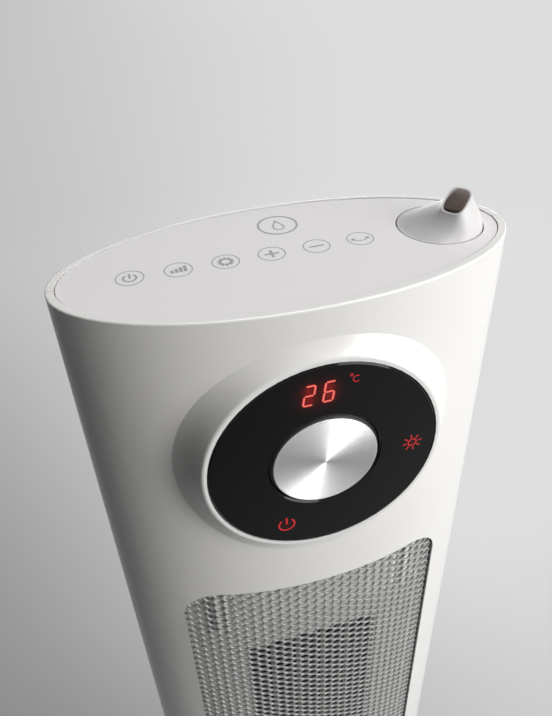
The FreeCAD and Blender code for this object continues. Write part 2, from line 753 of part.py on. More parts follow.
def led_digits():
    """Two-digit light module."""
    return light_box(DIGITS_X, DIGITS_RISE, DIGITS_WIDTH, DIGITS_TALL)


def symbol_lights():
    """Small light modules of the heat and power symbols."""
    return Part.makeCompound([light_box(x, rise, SYMBOL_SIZE, SYMBOL_SIZE) for x, rise in SYMBOL_SPOTS])


def dial_cap():
    """Spun metal cap of the dial: a face with a short skirt."""
    cap = rod_y(0.0, DISPLAY_Z, DIAL_RADIUS, DIAL_Y, DIAL_FLANGE_Y)
    cap = cap.makeChamfer(DIAL_CHAMFER, face_edges(cap, DIAL_Y))
    return cap.cut(rod_y(0.0, DISPLAY_Z, DIAL_RADIUS - DIAL_SKIN, DIAL_Y + DIAL_SKIN, DIAL_FLANGE_Y))


def dial_core():
    """Moulded core of the dial with its dark groove floor and the shaft socket."""
    plug = rod_y(0.0, DISPLAY_Z, DIAL_RADIUS - DIAL_SKIN - SNUG, DIAL_Y + DIAL_SKIN, DIAL_FLANGE_Y)
    flange = rod_y(0.0, DISPLAY_Z, LENS_BORE - CLEAR, DIAL_FLANGE_Y, DIAL_BACK)
    socket = rod_y(0.0, DISPLAY_Z, ENCODER_SHAFT + SNUG, DIAL_SOCKET_Y, DIAL_BACK)
    return join([plug, flange]).cut(socket)


def encoder_body():
    """Rotary encoder on the display board."""
    half = ENCODER_SIZE / 2.0
    block = slab_y(-half, half, DISPLAY_Z - half, DISPLAY_Z + half, 1.0, ENCODER_Y, DISPLAY_BOARD_Y)
    return block.cut(rod_y(0.0, DISPLAY_Z, ENCODER_SHAFT + RUN_FIT, ENCODER_Y, ENCODER_END + CLEAR))


def encoder_shaft():
    """Shaft that turns with the dial."""
    return rod_y(0.0, DISPLAY_Z, ENCODER_SHAFT, DIAL_SOCKET_Y + CLEAR, ENCODER_END)


def arc_places(rx, ry):
    """Running length along an ellipse from its front point, against the angle from that point."""
    steps = 4000
    lengths = [0.0]
    for step in range(steps):
        angle = (step + 0.5) * math.pi / 2.0 / steps
        speed = math.hypot(rx * math.cos(angle), ry * math.sin(angle))
        lengths.append(lengths[-1] + speed * math.pi / 2.0 / steps)
    return lengths


def arc_point(lengths, rx, ry, length):
    """Point of the front of an ellipse at a signed running length from X = 0."""
    step = 0
    while lengths[step] < abs(length):
        step = step + 1
    angle = step * math.pi / 2.0 / (len(lengths) - 1)
    return V(math.copysign(rx * math.sin(angle), length), -ry * math.cos(angle), 0.0)


def quad(a, b, z0, z1):
    """Upright rectangular wire over the line from a to b."""
    corners = [V(a.x, a.y, z0), V(b.x, b.y, z0), V(b.x, b.y, z1), V(a.x, a.y, z1)]
    return Part.makePolygon(corners + corners[:1])


def front_grille():
    """Sheet folded along the columns of its staggered holes to follow the oval front."""
    column = HOLE_PITCH * math.sqrt(3.0) / 2.0
    lengths = arc_places(GRILLE_W, GRILLE_D)
    edge_x = GRILLE_WIDTH / 2.0 + GRILLE_LAP
    edge_share = math.asin(edge_x / GRILLE_W) / (math.pi / 2.0)
    side = int(lengths[int(edge_share * (len(lengths) - 1))] / column - 0.5)
    strips = 2 * side + 1
    folds = [arc_point(lengths, GRILLE_W, GRILLE_D, (j - strips / 2.0) * column) for j in range(strips + 1)]
    normals = []
    for j in range(strips):
        along = folds[j + 1] - folds[j]
        normals.append(V(along.y, -along.x, 0.0).normalize())
    backs = []
    for j in range(strips + 1):
        before = normals[max(j - 1, 0)]
        after = normals[min(j, strips - 1)]
        backs.append(folds[j] - (before + after) * (GRILLE_THICK / (1.0 + before.dot(after))))
    z0 = GRILLE_Z0 - GRILLE_LAP
    z1 = GRILLE_Z1 + GRILLE_LAP
    faces = [Part.Face(quad(folds[0], backs[0], z0, z1)), Part.Face(quad(folds[-1], backs[-1], z0, z1))]
    for z in (z0, z1):
        rim = [V(p.x, p.y, z) for p in folds + backs[::-1]]
        faces.append(Part.Face(Part.makePolygon(rim + rim[:1])))
    for j in range(strips):
        faces.extend(grille_strip(folds[j:j + 2], backs[j:j + 2], normals[j], j - side, z0, z1))
    shell = Part.Shell(faces)
    shell.sewShape()
    return Part.Solid(shell)


def grille_strip(fold, back_fold, normal, index, z0, z1):
    """Faces of one flat strip of the grille: front, back and the walls of its column of holes."""
    middle = (z0 + z1) / 2.0
    reach = (z1 - z0) / 2.0 - HOLE_MARGIN - HOLE_RADIUS
    shift = HOLE_PITCH / 2.0 * (index % 2)
    rows = int(reach / HOLE_PITCH) + 1
    centre = (fold[0] + fold[1]) * 0.5
    fronts = []
    for row in range(-rows, rows + 1):
        rise = row * HOLE_PITCH + shift
        if abs(rise) <= reach:
            place = V(centre.x, centre.y, middle + rise)
            fronts.append(Part.Circle(place, normal, HOLE_RADIUS).toShape())
    inward = normal * -GRILLE_THICK
    walls = [edge.extrude(inward) for edge in fronts]
    holes = [Part.Wire(edge) for edge in fronts]
    back_holes = [Part.Wire(edge.translated(inward)) for edge in fronts]
    front = Part.makeFace([quad(fold[0], fold[1], z0, z1)] + holes, "Part::FaceMakerCheese")
    back = Part.makeFace([quad(back_fold[0], back_fold[1], z0, z1)] + back_holes, "Part::FaceMakerCheese")
    return [front, back] + walls


def outlet_plate():
    """Tray behind the grille: wall with the hot air window, forward upper board, end walls, screw ears."""
    limit = oval(GRILLE_BACK_W - CLEAR, GRILLE_BACK_D - CLEAR, GRILLE_Z0, GRILLE_Z1)
    tray = limit.common(box(-BODY_WIDTH, BODY_WIDTH, -BODY_DEPTH, OUTLET_BACK, GRILLE_Z0, GRILLE_Z1))
    inner_z0 = GRILLE_Z0 + OUTLET_THICK
    inner_z1 = GRILLE_Z1 - OUTLET_THICK
    tray = tray.cut(box(-BODY_WIDTH, BODY_WIDTH, -BODY_DEPTH, OUTLET_Y, inner_z0, inner_z1))
    tray = tray.cut(box(-DUCT_HALF, DUCT_HALF, OUTLET_Y, OUTLET_BACK, DUCT_Z0, DUCT_Z1))
    board_y = OUTLET_Y - OUTLET_STEP
    board_z0 = GRILLE_Z1 - OUTLET_STEP_DROP
    board = box(-BODY_WIDTH, BODY_WIDTH, board_y, OUTLET_BACK, board_z0, GRILLE_Z1)
    room_z0 = board_z0 + OUTLET_THICK
    board = board.cut(box(-BODY_WIDTH, BODY_WIDTH, board_y + OUTLET_THICK, OUTLET_BACK, room_z0, GRILLE_Z1))
    ears = []
    for x in (-EAR_X, EAR_X):
        ears.append(box(x - EAR_BOSS, x + EAR_BOSS, OUTLET_Y, OUTLET_BACK, EAR_Z0 - EAR_BOSS, inner_z0))
        ears.append(box(x - EAR_BOSS, x + EAR_BOSS, OUTLET_Y, OUTLET_BACK, inner_z1, EAR_Z1 + EAR_BOSS))
    holes = []
    for x in (-EAR_X, EAR_X):
        for z in (EAR_Z0, EAR_Z1):
            holes.append(rod_y(x, z, SCREW_SHANK + SNUG, OUTLET_Y, OUTLET_BACK))
    return join([tray, board.common(limit)] + ears).cut(holes)


def duct_screws():
    """Screws that hold the outlet plate to the front half."""
    screws = []
    for x in (-EAR_X, EAR_X):
        for z in (EAR_Z0, EAR_Z1):
            screws.append(screw_y(x, z, OUTLET_BACK, OUTLET_THICK + EAR_BITE - CLEAR))
    return Part.makeCompound(screws)


def element_frame():
    """Heat-proof frame round the heating element."""
    frame = box(-FRAME_HALF, FRAME_HALF, OUTLET_BACK, FRAME_BACK, FRAME_Z0, FRAME_Z1)
    return frame.cut(box(-DUCT_HALF, DUCT_HALF, OUTLET_BACK, FRAME_BACK, DUCT_Z0, DUCT_Z1))


def bar_places():
    """Middles of the ceramic bars across the duct."""
    span = DUCT_WIDTH / (BAR_COUNT + 1)
    return [-DUCT_HALF + span * (step + 1) for step in range(BAR_COUNT)]


def ceramic_bars():
    """Upright ceramic heater bars."""
    y0 = ELEMENT_Y - BAR_DEPTH / 2.0
    bars = []
    for x in bar_places():
        bars.append(box(x - BAR_THICK / 2.0, x + BAR_THICK / 2.0, y0, y0 + BAR_DEPTH, DUCT_Z0, DUCT_Z1))
    return Part.makeCompound(bars)


def fin_pack(x0, x1):
    """Folded fin strip between two bars."""
    y0 = ELEMENT_Y - FIN_DEPTH / 2.0
    folds = int((DUCT_Z1 - DUCT_Z0) / FIN_PITCH)
    left = []
    for step in range(folds):
        x = x1 - FIN_FOLD if step % 2 else x0
        left.append(V(x, y0, DUCT_Z0 + FIN_PITCH * (step + 0.5)))
    right = [point + V(FIN_FOLD, 0, 0) for point in left[::-1]]
    return Part.Face(Part.makePolygon(left + right + left[:1])).extrude(V(0, FIN_DEPTH, 0))


def heater_fins():
    """Folded fin strips that fill the gaps between the bars."""
    lefts = [-DUCT_HALF] + [x + BAR_THICK / 2.0 for x in bar_places()]
    rights = [x - BAR_THICK / 2.0 for x in bar_places()] + [DUCT_HALF]
    return Part.makeCompound([fin_pack(x0 + SNUG, x1 - SNUG) for x0, x1 in zip(lefts, rights)])


def thermal_cutout():
    """Round safety thermostat on its flange above the element."""
    z0 = FRAME_Z1 + PLATE_THICK
    flange = slab_z(-2.0 * CUTOUT_RADIUS, 2.0 * CUTOUT_RADIUS, ELEMENT_Y - CUTOUT_RADIUS,
                    ELEMENT_Y + CUTOUT_RADIUS, CUTOUT_RADIUS / 2.0, z0, z0 + CUTOUT_FLANGE)
    can = rod(0.0, ELEMENT_Y, CUTOUT_RADIUS, z0, z0 + CUTOUT_FLANGE + CUTOUT_TALL)
    return join([flange, can])


def wheel_point(radius, degrees):
    """Point round the axis of the cross-flow wheel at its lower end."""
    angle = math.radians(degrees)
    return V(radius * math.cos(angle), FAN_Y + radius * math.sin(angle), FAN_Z0)


def wheel_blade(start):
    """Curved blade of the cross-flow wheel."""
    inner = FAN_RADIUS - FAN_BLADE_WIDTH
    middle = FAN_RADIUS - FAN_BLADE_WIDTH / 2.0
    bow = start + FAN_BLADE_LEAN * FAN_BLADE_BOW
    end = start + FAN_BLADE_LEAN
    thick = math.degrees(FAN_BLADE_THICK / FAN_RADIUS)
    lead = (wheel_point(inner, start), wheel_point(middle, bow), wheel_point(FAN_RADIUS, end))
    trail = (wheel_point(FAN_RADIUS, end + thick), wheel_point(middle, bow + thick),
             wheel_point(inner, start + thick))
    edges = [Part.Arc(*lead).toShape(), Part.LineSegment(lead[2], trail[0]).toShape()]
    edges = edges + [Part.Arc(*trail).toShape(), Part.LineSegment(trail[2], lead[0]).toShape()]
    return Part.Face(Part.Wire(edges)).extrude(V(0, 0, FAN_Z1 - FAN_Z0))


def fan_wheel():
    """Cross-flow wheel: curved blades between discs, with a stub shaft at each end."""
    solids = []
    gap = (FAN_Z1 - FAN_Z0 - FAN_DISC) / (FAN_DISCS - 1)
    for step in range(FAN_DISCS):
        z = FAN_Z0 + gap * step
        disc = rod(0.0, FAN_Y, FAN_RADIUS + FAN_DISC_LIP, z, z + FAN_DISC)
        if 0 < step < FAN_DISCS - 1:
            disc = disc.cut(rod(0.0, FAN_Y, FAN_RADIUS - FAN_BLADE_WIDTH - FAN_DISC_LIP, z, z + FAN_DISC))
        solids.append(disc)
    for step in range(FAN_BLADES):
        solids.append(wheel_blade(360.0 * step / FAN_BLADES))
    solids.append(rod(0.0, FAN_Y, FAN_SHAFT, MOTOR_Z1 - MOTOR_BORE_DEEP + CLEAR, FAN_Z0))
    solids.append(rod(0.0, FAN_Y, FAN_SHAFT, FAN_Z1, BEARING_Z1))
    return join(solids)


def end_plate(z0, hole):
    """Plate that closes one end of the blower."""
    plate = slab_z(-FRAME_HALF, FRAME_HALF, OUTLET_BACK, PLATE_BACK, ELEMENT_BORDER, z0, z0 + PLATE_THICK)
    return plate.cut(rod(0.0, FAN_Y, hole, z0, z0 + PLATE_THICK))


def upper_plate():
    """Upper end plate with the bearing seat."""
    return end_plate(FRAME_Z1, BEARING_RADIUS + SNUG)


def lower_plate():
    """Lower end plate above the fan motor."""
    return end_plate(MOTOR_Z1, FAN_SHAFT + PINION_SHAFT_GAP)


def fan_bearing():
    """Flanged bush at the upper end of the wheel."""
    z = FRAME_Z1 + PLATE_THICK
    bush = rod(0.0, FAN_Y, BEARING_RADIUS, FRAME_Z1, z).fuse(rod(0.0, FAN_Y, BEARING_FLANGE, z, BEARING_Z1))
    return bush.removeSplitter().cut(rod(0.0, FAN_Y, FAN_SHAFT + RUN_FIT, FRAME_Z1, BEARING_Z1))


def fan_motor():
    """Closed motor under the blower."""
    can = rod(0.0, FAN_Y, MOTOR_RADIUS, MOTOR_Z1 - MOTOR_TALL, MOTOR_Z1)
    can = can.makeFillet(MOTOR_ROUND, rim_edges(can, MOTOR_Z1 - MOTOR_TALL))
    return can.cut(rod(0.0, FAN_Y, FAN_SHAFT + RUN_FIT, MOTOR_Z1 - MOTOR_BORE_DEEP, MOTOR_Z1))


def duct_sheet(start, bend, end, thick):
    """Upright curved sheet from three points of one face, thickened along X."""
    points = [V(x, y, FRAME_Z0) for x, y in (start, bend, end)]
    outer = [point + V(thick, 0, 0) for point in points]
    edges = [Part.Arc(*points).toShape(), Part.LineSegment(points[2], outer[2]).toShape()]
    edges = edges + [Part.Arc(*outer[::-1]).toShape(), Part.LineSegment(outer[0], points[0]).toShape()]
    return Part.Face(Part.Wire(edges)).extrude(V(0, 0, FRAME_Z1 - FRAME_Z0))


def scroll_wall():
    """Curved guide wall on the pressure side of the wheel."""
    start = (DUCT_HALF, FRAME_BACK)
    bend = (FAN_RADIUS + SCROLL_GAP, FAN_Y)
    end = (FAN_RADIUS + SCROLL_TIP, PLATE_BACK)
    return duct_sheet(start, bend, end, DUCT_WALL)


def tongue_wall():
    """Short guide wall that parts the outlet from the inlet."""
    start = (-DUCT_HALF, FRAME_BACK)
    end = (-FAN_RADIUS - TONGUE_GAP, FAN_Y)
    bend = ((start[0] + end[0]) / 2.0 - DUCT_WALL, (start[1] + end[1]) / 2.0)
    return duct_sheet(start, bend, end, -DUCT_WALL)


def intake_cover():
    """Removable rear cover with two columns of slots."""
    plate = oval(HALF_W, HALF_D, BODY_BOTTOM, BODY_TOP)
    plate = plate.cut(oval(IN_W + COVER_STEP, IN_D + COVER_STEP, BODY_BOTTOM, BODY_TOP))
    plate = plate.common(intake_slab(-SLIDE_GAP))
    rows = int((INTAKE_Z1 - INTAKE_Z0 - 2.0 * INTAKE_CORNER) / SLOT_PITCH)
    first = (INTAKE_Z0 + INTAKE_Z1 - SLOT_PITCH * (rows - 1)) / 2.0
    slots = []
    for x0 in (SLOT_RIB / 2.0, -SLOT_RIB / 2.0 - SLOT_WIDTH):
        for row in range(rows):
            z = first + SLOT_PITCH * row
            slots.append(slab_y(x0, x0 + SLOT_WIDTH, z - SLOT_TALL / 2.0, z + SLOT_TALL / 2.0,
                                SLOT_TALL * 0.49, 0.0, BODY_DEPTH))
    return plate.cut(slots)


def dust_filter():
    """Curved filter frame behind the intake cover."""
    front = IN_W + COVER_STEP - SNUG
    depth = IN_D + COVER_STEP - SNUG
    frame = oval(front, depth, BODY_BOTTOM, BODY_TOP)
    frame = frame.cut(oval(front - FILTER_THICK, depth - FILTER_THICK, BODY_BOTTOM, BODY_TOP))
    frame = frame.common(intake_slab(-INTAKE_LEDGE - CLEAR))
    half = INTAKE_HALF - INTAKE_LEDGE - FILTER_BORDER
    z0 = INTAKE_Z0 + INTAKE_LEDGE + FILTER_BORDER
    z1 = INTAKE_Z1 - INTAKE_LEDGE - FILTER_BORDER
    wide = (2.0 * half + FILTER_BAR) / FILTER_COLUMNS
    tall = (z1 - z0 + FILTER_BAR) / FILTER_ROWS
    cells = []
    for column in range(FILTER_COLUMNS):
        for row in range(FILTER_ROWS):
            x = -half + wide * column
            z = z0 + tall * row
            cells.append(box(x, x + wide - FILTER_BAR, 0.0, BODY_DEPTH, z, z + tall - FILTER_BAR))
    return frame.cut(cells)


def tank_grip(margin):
    """Finger pocket in the back of the tank, undercut at its top, grown by a margin."""
    half = GRIP_WIDTH / 2.0 + margin
    z1 = TANK_Z1 - GRIP_DROP
    mouth = box(-half, half, HALF_D - GRIP_DEEP - margin, BODY_DEPTH, z1 - GRIP_TALL - margin, z1 + margin)
    hook = box(-half, half, HALF_D - GRIP_DEEP - margin, HALF_D - GRIP_LIP + margin,
               z1 - GRIP_TALL, z1 + GRIP_HOOK + margin)
    return mouth.fuse(hook)


def water_tank():
    """Hollow tank that pulls out of the back, with a finger pocket and a filler neck below."""
    outline = tank_slab(0.0, TANK_FRONT)
    tank = oval(HALF_W, HALF_D, TANK_Z0, TANK_Z1).common(outline)
    room = oval(HALF_W - TANK_WALL, HALF_D - TANK_WALL, TANK_Z0 + TANK_WALL, TANK_Z1 - TANK_WALL)
    room = room.common(tank_slab(-TANK_WALL, TANK_FRONT + TANK_WALL)).cut(tank_grip(TANK_WALL))
    tank = tank.cut(room).cut(tank_grip(0.0))
    neck = rod(NECK_X, NECK_Y, NECK_RADIUS + NECK_WALL, TANK_Z0, TANK_Z0 + NECK_TALL)
    return join([tank, neck]).cut(rod(NECK_X, NECK_Y, NECK_RADIUS, TANK_Z0, TANK_Z0 + NECK_TALL))


def tank_cap():
    """Filler cap with its valve stem, flush with the tank floor."""
    top = TANK_Z0 + NECK_TALL
    plug = rod(NECK_X, NECK_Y, NECK_RADIUS - SNUG, TANK_Z0, top)
    stem = rod(NECK_X, NECK_Y, CAP_STEM, top, top + CAP_STEM_TALL)
    return join([plug, stem])


def trough_block(inset, z0, z1):
    """Outline of the water trough under the deck, shrunk by an inset."""
    end = NOZZLE_X + TROUGH_END - inset
    block = box(TROUGH_X0 + inset, end, TROUGH_Y0 + inset, TROUGH_Y1 - inset, z0, z1)
    return block.common(oval(IN_W - CLEAR - inset, IN_D - CLEAR - inset, z0, z1))


def water_deck():
    """Shelf under the tank with the trough that leads water to the mist disc."""
    deck = oval(IN_W - CLEAR, IN_D - CLEAR, DECK_Z0, DECK_Z1)
    deck = deck.common(box(-BODY_WIDTH, BODY_WIDTH, DECK_FRONT, BODY_DEPTH, DECK_Z0, DECK_Z1))
    deck = join([deck, trough_block(0.0, TROUGH_Z0, DECK_Z0)])
    cuts = [trough_block(TROUGH_WALL, TROUGH_Z0 + TROUGH_WALL, DECK_Z0)]
    cuts.append(rod(NECK_X, NECK_Y, NECK_RADIUS - NECK_WALL, DECK_Z0, DECK_Z1))
    cuts.append(rod(NOZZLE_X, NOZZLE_Y, CHIMNEY_BORE, DECK_Z0, DECK_Z1))
    cuts.append(rod(NOZZLE_X, NOZZLE_Y, MIST_DISC + SNUG, TROUGH_Z0, TROUGH_Z0 + TROUGH_WALL))
    return deck.cut(cuts)


def mist_disc():
    """Ultrasonic disc in the floor of the trough, with its flange below."""
    disc = rod(NOZZLE_X, NOZZLE_Y, MIST_DISC, TROUGH_Z0, TROUGH_Z0 + TROUGH_WALL)
    flange = rod(NOZZLE_X, NOZZLE_Y, MIST_DISC + TROUGH_WALL, TROUGH_Z0 - MIST_DISC_TALL, TROUGH_Z0)
    return join([disc, flange])


def mist_chimney():
    """Tube from the trough to the nozzle, flanged at both ends."""
    tube = rod(NOZZLE_X, NOZZLE_Y, CHIMNEY_RADIUS, DECK_Z1, CHIMNEY_Z1)
    foot = rod(NOZZLE_X, NOZZLE_Y, CHIMNEY_RADIUS + CHIMNEY_WALL, DECK_Z1, DECK_Z1 + CHIMNEY_FLANGE_TALL)
    head = rod(NOZZLE_X, NOZZLE_Y, CHIMNEY_FLANGE, CHIMNEY_Z1 - CHIMNEY_FLANGE_TALL, CHIMNEY_Z1)
    return join([tube, foot, head]).cut(rod(NOZZLE_X, NOZZLE_Y, CHIMNEY_BORE, DECK_Z1, CHIMNEY_Z1))


def spout_section(level, inset):
    """Cross-section of the spout: from a level circle at its foot to a leaning rounded mouth."""
    flare = (1.0 - level) ** SPOUT_FLARE
    wall = inset * (1.0 - SPOUT_THIN * level)
    long_half = SPOUT_LONG + (NOZZLE_RADIUS - SPOUT_LONG) * flare - wall
    wide_half = SPOUT_WIDE + (NOZZLE_RADIUS - SPOUT_WIDE) * flare - wall
    power = 2.0 / (2.0 + (SPOUT_SQUARE - 2.0) * level)
    tilt = math.radians(SPOUT_TILT * level)
    aim = math.radians(SPOUT_AIM)
    along = V(math.cos(aim) * math.cos(tilt), math.sin(aim) * math.cos(tilt), -math.sin(tilt))
    across = V(-math.sin(aim), math.cos(aim), 0.0)
    foot = V(NOZZLE_X, NOZZLE_Y, PANEL_Z1)
    drift = 1.0 - (1.0 - level) ** SPOUT_DRIFT
    centre = foot + V(SPOUT_SHIFT_X * drift, SPOUT_SHIFT_Y * drift, SPOUT_RISE * level)
    points = []
    for step in range(SPOUT_STEPS):
        angle = 2.0 * math.pi * step / SPOUT_STEPS
        u = math.copysign(abs(math.cos(angle)) ** power, math.cos(angle))
        w = math.copysign(abs(math.sin(angle)) ** power, math.sin(angle))
        points.append(centre + along * (long_half * u) + across * (wide_half * w))
    return closed_curve(points)


def spout_body(inset, depth):
    """Spout outline with its skirt, shrunk by an inset and reaching a depth below the panel face."""
    sections = [spout_section(level, inset) for level in SPOUT_LEVELS]
    skirt = Part.Face(sections[0]).extrude(V(0, 0, -depth))
    return skirt.fuse(Part.makeLoft(sections, True, False))


def mist_nozzle():
    """Turning nozzle: a hollow flared spout on a round skirt, with a spigot in the chimney."""
    depth = PANEL_Z1 - SKIRT_Z0
    spout = spout_body(0.0, depth).cut(spout_body(NOZZLE_WALL, depth - NOZZLE_WALL))
    spigot_z0 = SKIRT_Z0 - NOZZLE_SPIGOT
    spigot = rod(NOZZLE_X, NOZZLE_Y, SPIGOT_RADIUS, spigot_z0, SKIRT_Z0)
    return spout.fuse(spigot).cut(rod(NOZZLE_X, NOZZLE_Y, SPIGOT_BORE, spigot_z0, SKIRT_Z0 + NOZZLE_WALL))


def base_cover():
    """Domed round cover of the base with the swivel collar and screw posts."""
    cover = rod(0.0, 0.0, BASE_RADIUS, FOOT_TALL, BASE_TOP)
    cover = cover.makeFillet(BASE_ROUND, rim_edges(cover, BASE_TOP))
    room = rod(0.0, 0.0, BASE_RADIUS - BASE_WALL, FOOT_TALL, COVER_UNDER)
    room = room.makeFillet(BASE_ROUND - BASE_WALL, rim_edges(room, COVER_UNDER))
    posts = [rod(x, y, BASE_POST, PLATE_Z1, COVER_UNDER) for x, y in base_screw_spots()]
    collar = rod(0.0, 0.0, COLLAR_RADIUS, COVER_UNDER, COLLAR_Z1)
    cover = join([cover.cut(room), collar] + posts)
    cuts = [rod(0.0, 0.0, COLLAR_BORE, COVER_UNDER, COLLAR_Z1)]
    for x, y in base_screw_spots():
        cuts.append(rod(x, y, SCREW_SHANK + SCREW_FIT, PLATE_Z1, PLATE_Z1 + SCREW_BITE))
    cuts.append(rod_y(0.0, GLAND_Z, GLAND_RADIUS + SNUG, BASE_RADIUS - GLAND_LENGTH, BASE_RADIUS))
    cuts.append(rod_y(0.0, GLAND_Z, GLAND_FLANGE + SNUG, GLAND_Y1 - GLAND_FLANGE_TALL, BASE_RADIUS))
    return cover.cut(cuts)


def base_screw_spots():
    """Places of the base screws."""
    return circle_spots(BASE_POST_CIRCLE, FOOT_COUNT, 45.0 + 90.0 / FOOT_COUNT)


def foot_spots():
    """Places of the rubber feet."""
    return circle_spots(FOOT_CIRCLE, FOOT_COUNT, 90.0 / FOOT_COUNT)


def base_plate():
    """Bottom plate of the base."""
    plate = rod(0.0, 0.0, BASE_RADIUS - BASE_WALL - CLEAR, FOOT_TALL, PLATE_Z1)
    holes = [rod(x, y, SCREW_SHANK + SNUG, FOOT_TALL, PLATE_Z1) for x, y in base_screw_spots()]
    holes.append(rod(0.0, TIP_Y, PLUNGER_RADIUS + CLEAR, FOOT_TALL, PLATE_Z1))
    return plate.cut(holes)


def base_screws():
    """Screws that close the base from below."""
    bite = BASE_PLATE_THICK + SCREW_BITE - CLEAR
    return Part.makeCompound([screw_z(x, y, FOOT_TALL, bite) for x, y in base_screw_spots()])


def rubber_feet():
    """Soft feet under the bottom plate."""
    feet = []
    for x, y in foot_spots():
        foot = rod(x, y, FOOT_RADIUS, 0.0, FOOT_TALL)
        feet.append(foot.makeChamfer(FOOT_CHAMFER, rim_edges(foot, 0.0)))
    return Part.makeCompound(feet)


def ballast_ring():
    """Steel weight on the bottom plate."""
    weight = ring(0.0, 0.0, BALLAST_OUTER, BALLAST_INNER, PLATE_Z1, PLATE_Z1 + BALLAST_TALL)
    return weight.makeChamfer(FOOT_CHAMFER, rim_edges(weight, PLATE_Z1 + BALLAST_TALL))


def cord_gland():
    """Flanged cord inlet, let into the back of the base."""
    body = rod_y(0.0, GLAND_Z, GLAND_RADIUS, BASE_RADIUS - GLAND_LENGTH, GLAND_Y1)
    flange = rod_y(0.0, GLAND_Z, GLAND_FLANGE, GLAND_Y1 - GLAND_FLANGE_TALL, GLAND_Y1)
    flange = flange.makeFillet(GLAND_FLANGE_TALL * 0.4, face_edges(flange, GLAND_Y1))
    gland = join([body, flange])
    return gland.cut(rod_y(0.0, GLAND_Z, GLAND_RADIUS - GLAND_WALL, BASE_RADIUS - GLAND_LENGTH, GLAND_Y1))


def tip_switch():
    """Tip-over switch on the bottom plate with the bore of its plunger."""
    top = PLATE_Z1 + TIP_TALL
    half_x = TIP_WIDTH / 2.0
    half_y = TIP_DEPTH / 2.0
    block = box(-half_x, half_x, TIP_Y - half_y, TIP_Y + half_y, PLATE_Z1, top)
    recess = rod(0.0, TIP_Y, PLUNGER_COLLAR + CLEAR, PLATE_Z1, COLLAR_TOP + CLEAR)
    bore = rod(0.0, TIP_Y, PLUNGER_RADIUS + RUN_FIT, COLLAR_TOP, COLLAR_TOP + PLUNGER_TOP + CLEAR)
    return block.cut([recess, bore])


def tip_plunger():
    """Plunger that the floor keeps pushed in."""
    pin = rod(0.0, TIP_Y, PLUNGER_RADIUS, PLUNGER_LIFT, COLLAR_TOP + PLUNGER_TOP)
    collar = rod(0.0, TIP_Y, PLUNGER_COLLAR, COLLAR_TOP - PLUNGER_COLLAR_TALL, COLLAR_TOP)
    return join([pin, collar])


def bottom_cap():
    """Floor of the tower with the swivel hub and the guides of the power board."""
    plate = oval(CAP_W, CAP_D, CAP_Z0, CAP_Z1)
    solids = [plate, rod(0.0, 0.0, HUB_RADIUS, HUB_Z0, CAP_Z0)]
    back = POWER_Y + BOARD_THICK
    for x in (POWER_X0, POWER_X1 - GUIDE_SIZE):
        solids.append(box(x, x + GUIDE_SIZE, back, back + GUIDE_SIZE, CAP_Z0, CAP_Z1 + POWER_TALL))
    cuts = [rod(0.0, 0.0, HUB_BORE, HUB_Z0, CAP_Z1)]
    cuts.append(rod(PINION_X, 0.0, PINION_SHAFT + PINION_SHAFT_GAP, CAP_Z0, CAP_Z1))
    for x in (-CAP_SCREW_X, CAP_SCREW_X):
        for y in (-CAP_SCREW_Y, CAP_SCREW_Y):
            cuts.append(rod(x, y, SCREW_SHANK + SNUG, CAP_Z0, CAP_Z1))
    for x, y in hub_screw_spots():
        cuts.append(rod(x, y, SCREW_SHANK + SCREW_FIT, HUB_Z0, HUB_Z0 + SCREW_BITE))
    return join(solids).cut(cuts)


def cap_screws():
    """Screws that hold the bottom cap to both housing halves."""
    screws = []
    for x in (-CAP_SCREW_X, CAP_SCREW_X):
        for y in (-CAP_SCREW_Y, CAP_SCREW_Y):
            screws.append(screw_z(x, y, CAP_Z0, CAP_THICK + CAP_SCREW_BITE - CLEAR))
    return Part.makeCompound(screws)


def swivel_washer():
    """Slip ring that the tower turns on."""
    return ring(0.0, 0.0, COLLAR_RADIUS, COLLAR_BORE + CLEAR, COLLAR_Z1, COLLAR_Z1 + WASHER_TALL)


def hub_screw_spots():
    """Places of the retainer screws in the hub wall."""
    return circle_spots(HUB_RADIUS - HUB_WALL / 2.0, HUB_SCREWS, 90.0)


def swivel_retainer():
    """Ring under the base cover that keeps the tower on its collar."""
    plate = ring(0.0, 0.0, HUB_RADIUS + RETAINER_REACH, HUB_BORE, HUB_Z0 - RETAINER_TALL, HUB_Z0)
    holes = [rod(x, y, SCREW_SHANK + SNUG, HUB_Z0 - RETAINER_TALL, HUB_Z0) for x, y in hub_screw_spots()]
    return plate.cut(holes)


def hub_screws():
    """Screws of the retainer ring."""
    seat = HUB_Z0 - RETAINER_TALL
    bite = RETAINER_TALL + SCREW_BITE - CLEAR
    return Part.makeCompound([screw_z(x, y, seat, bite) for x, y in hub_screw_spots()])


def tooth_half_angle(radius, pitch_radius, teeth):
    """Half the angle of an involute tooth at one radius."""
    pressure = math.radians(GEAR_PRESSURE)
    base = pitch_radius * math.cos(pressure)
    local = math.acos(min(1.0, base / radius))
    middle = math.pi / (2.0 * teeth) - GEAR_BACKLASH / (4.0 * pitch_radius)
    return middle + (math.tan(pressure) - pressure) - (math.tan(local) - local)


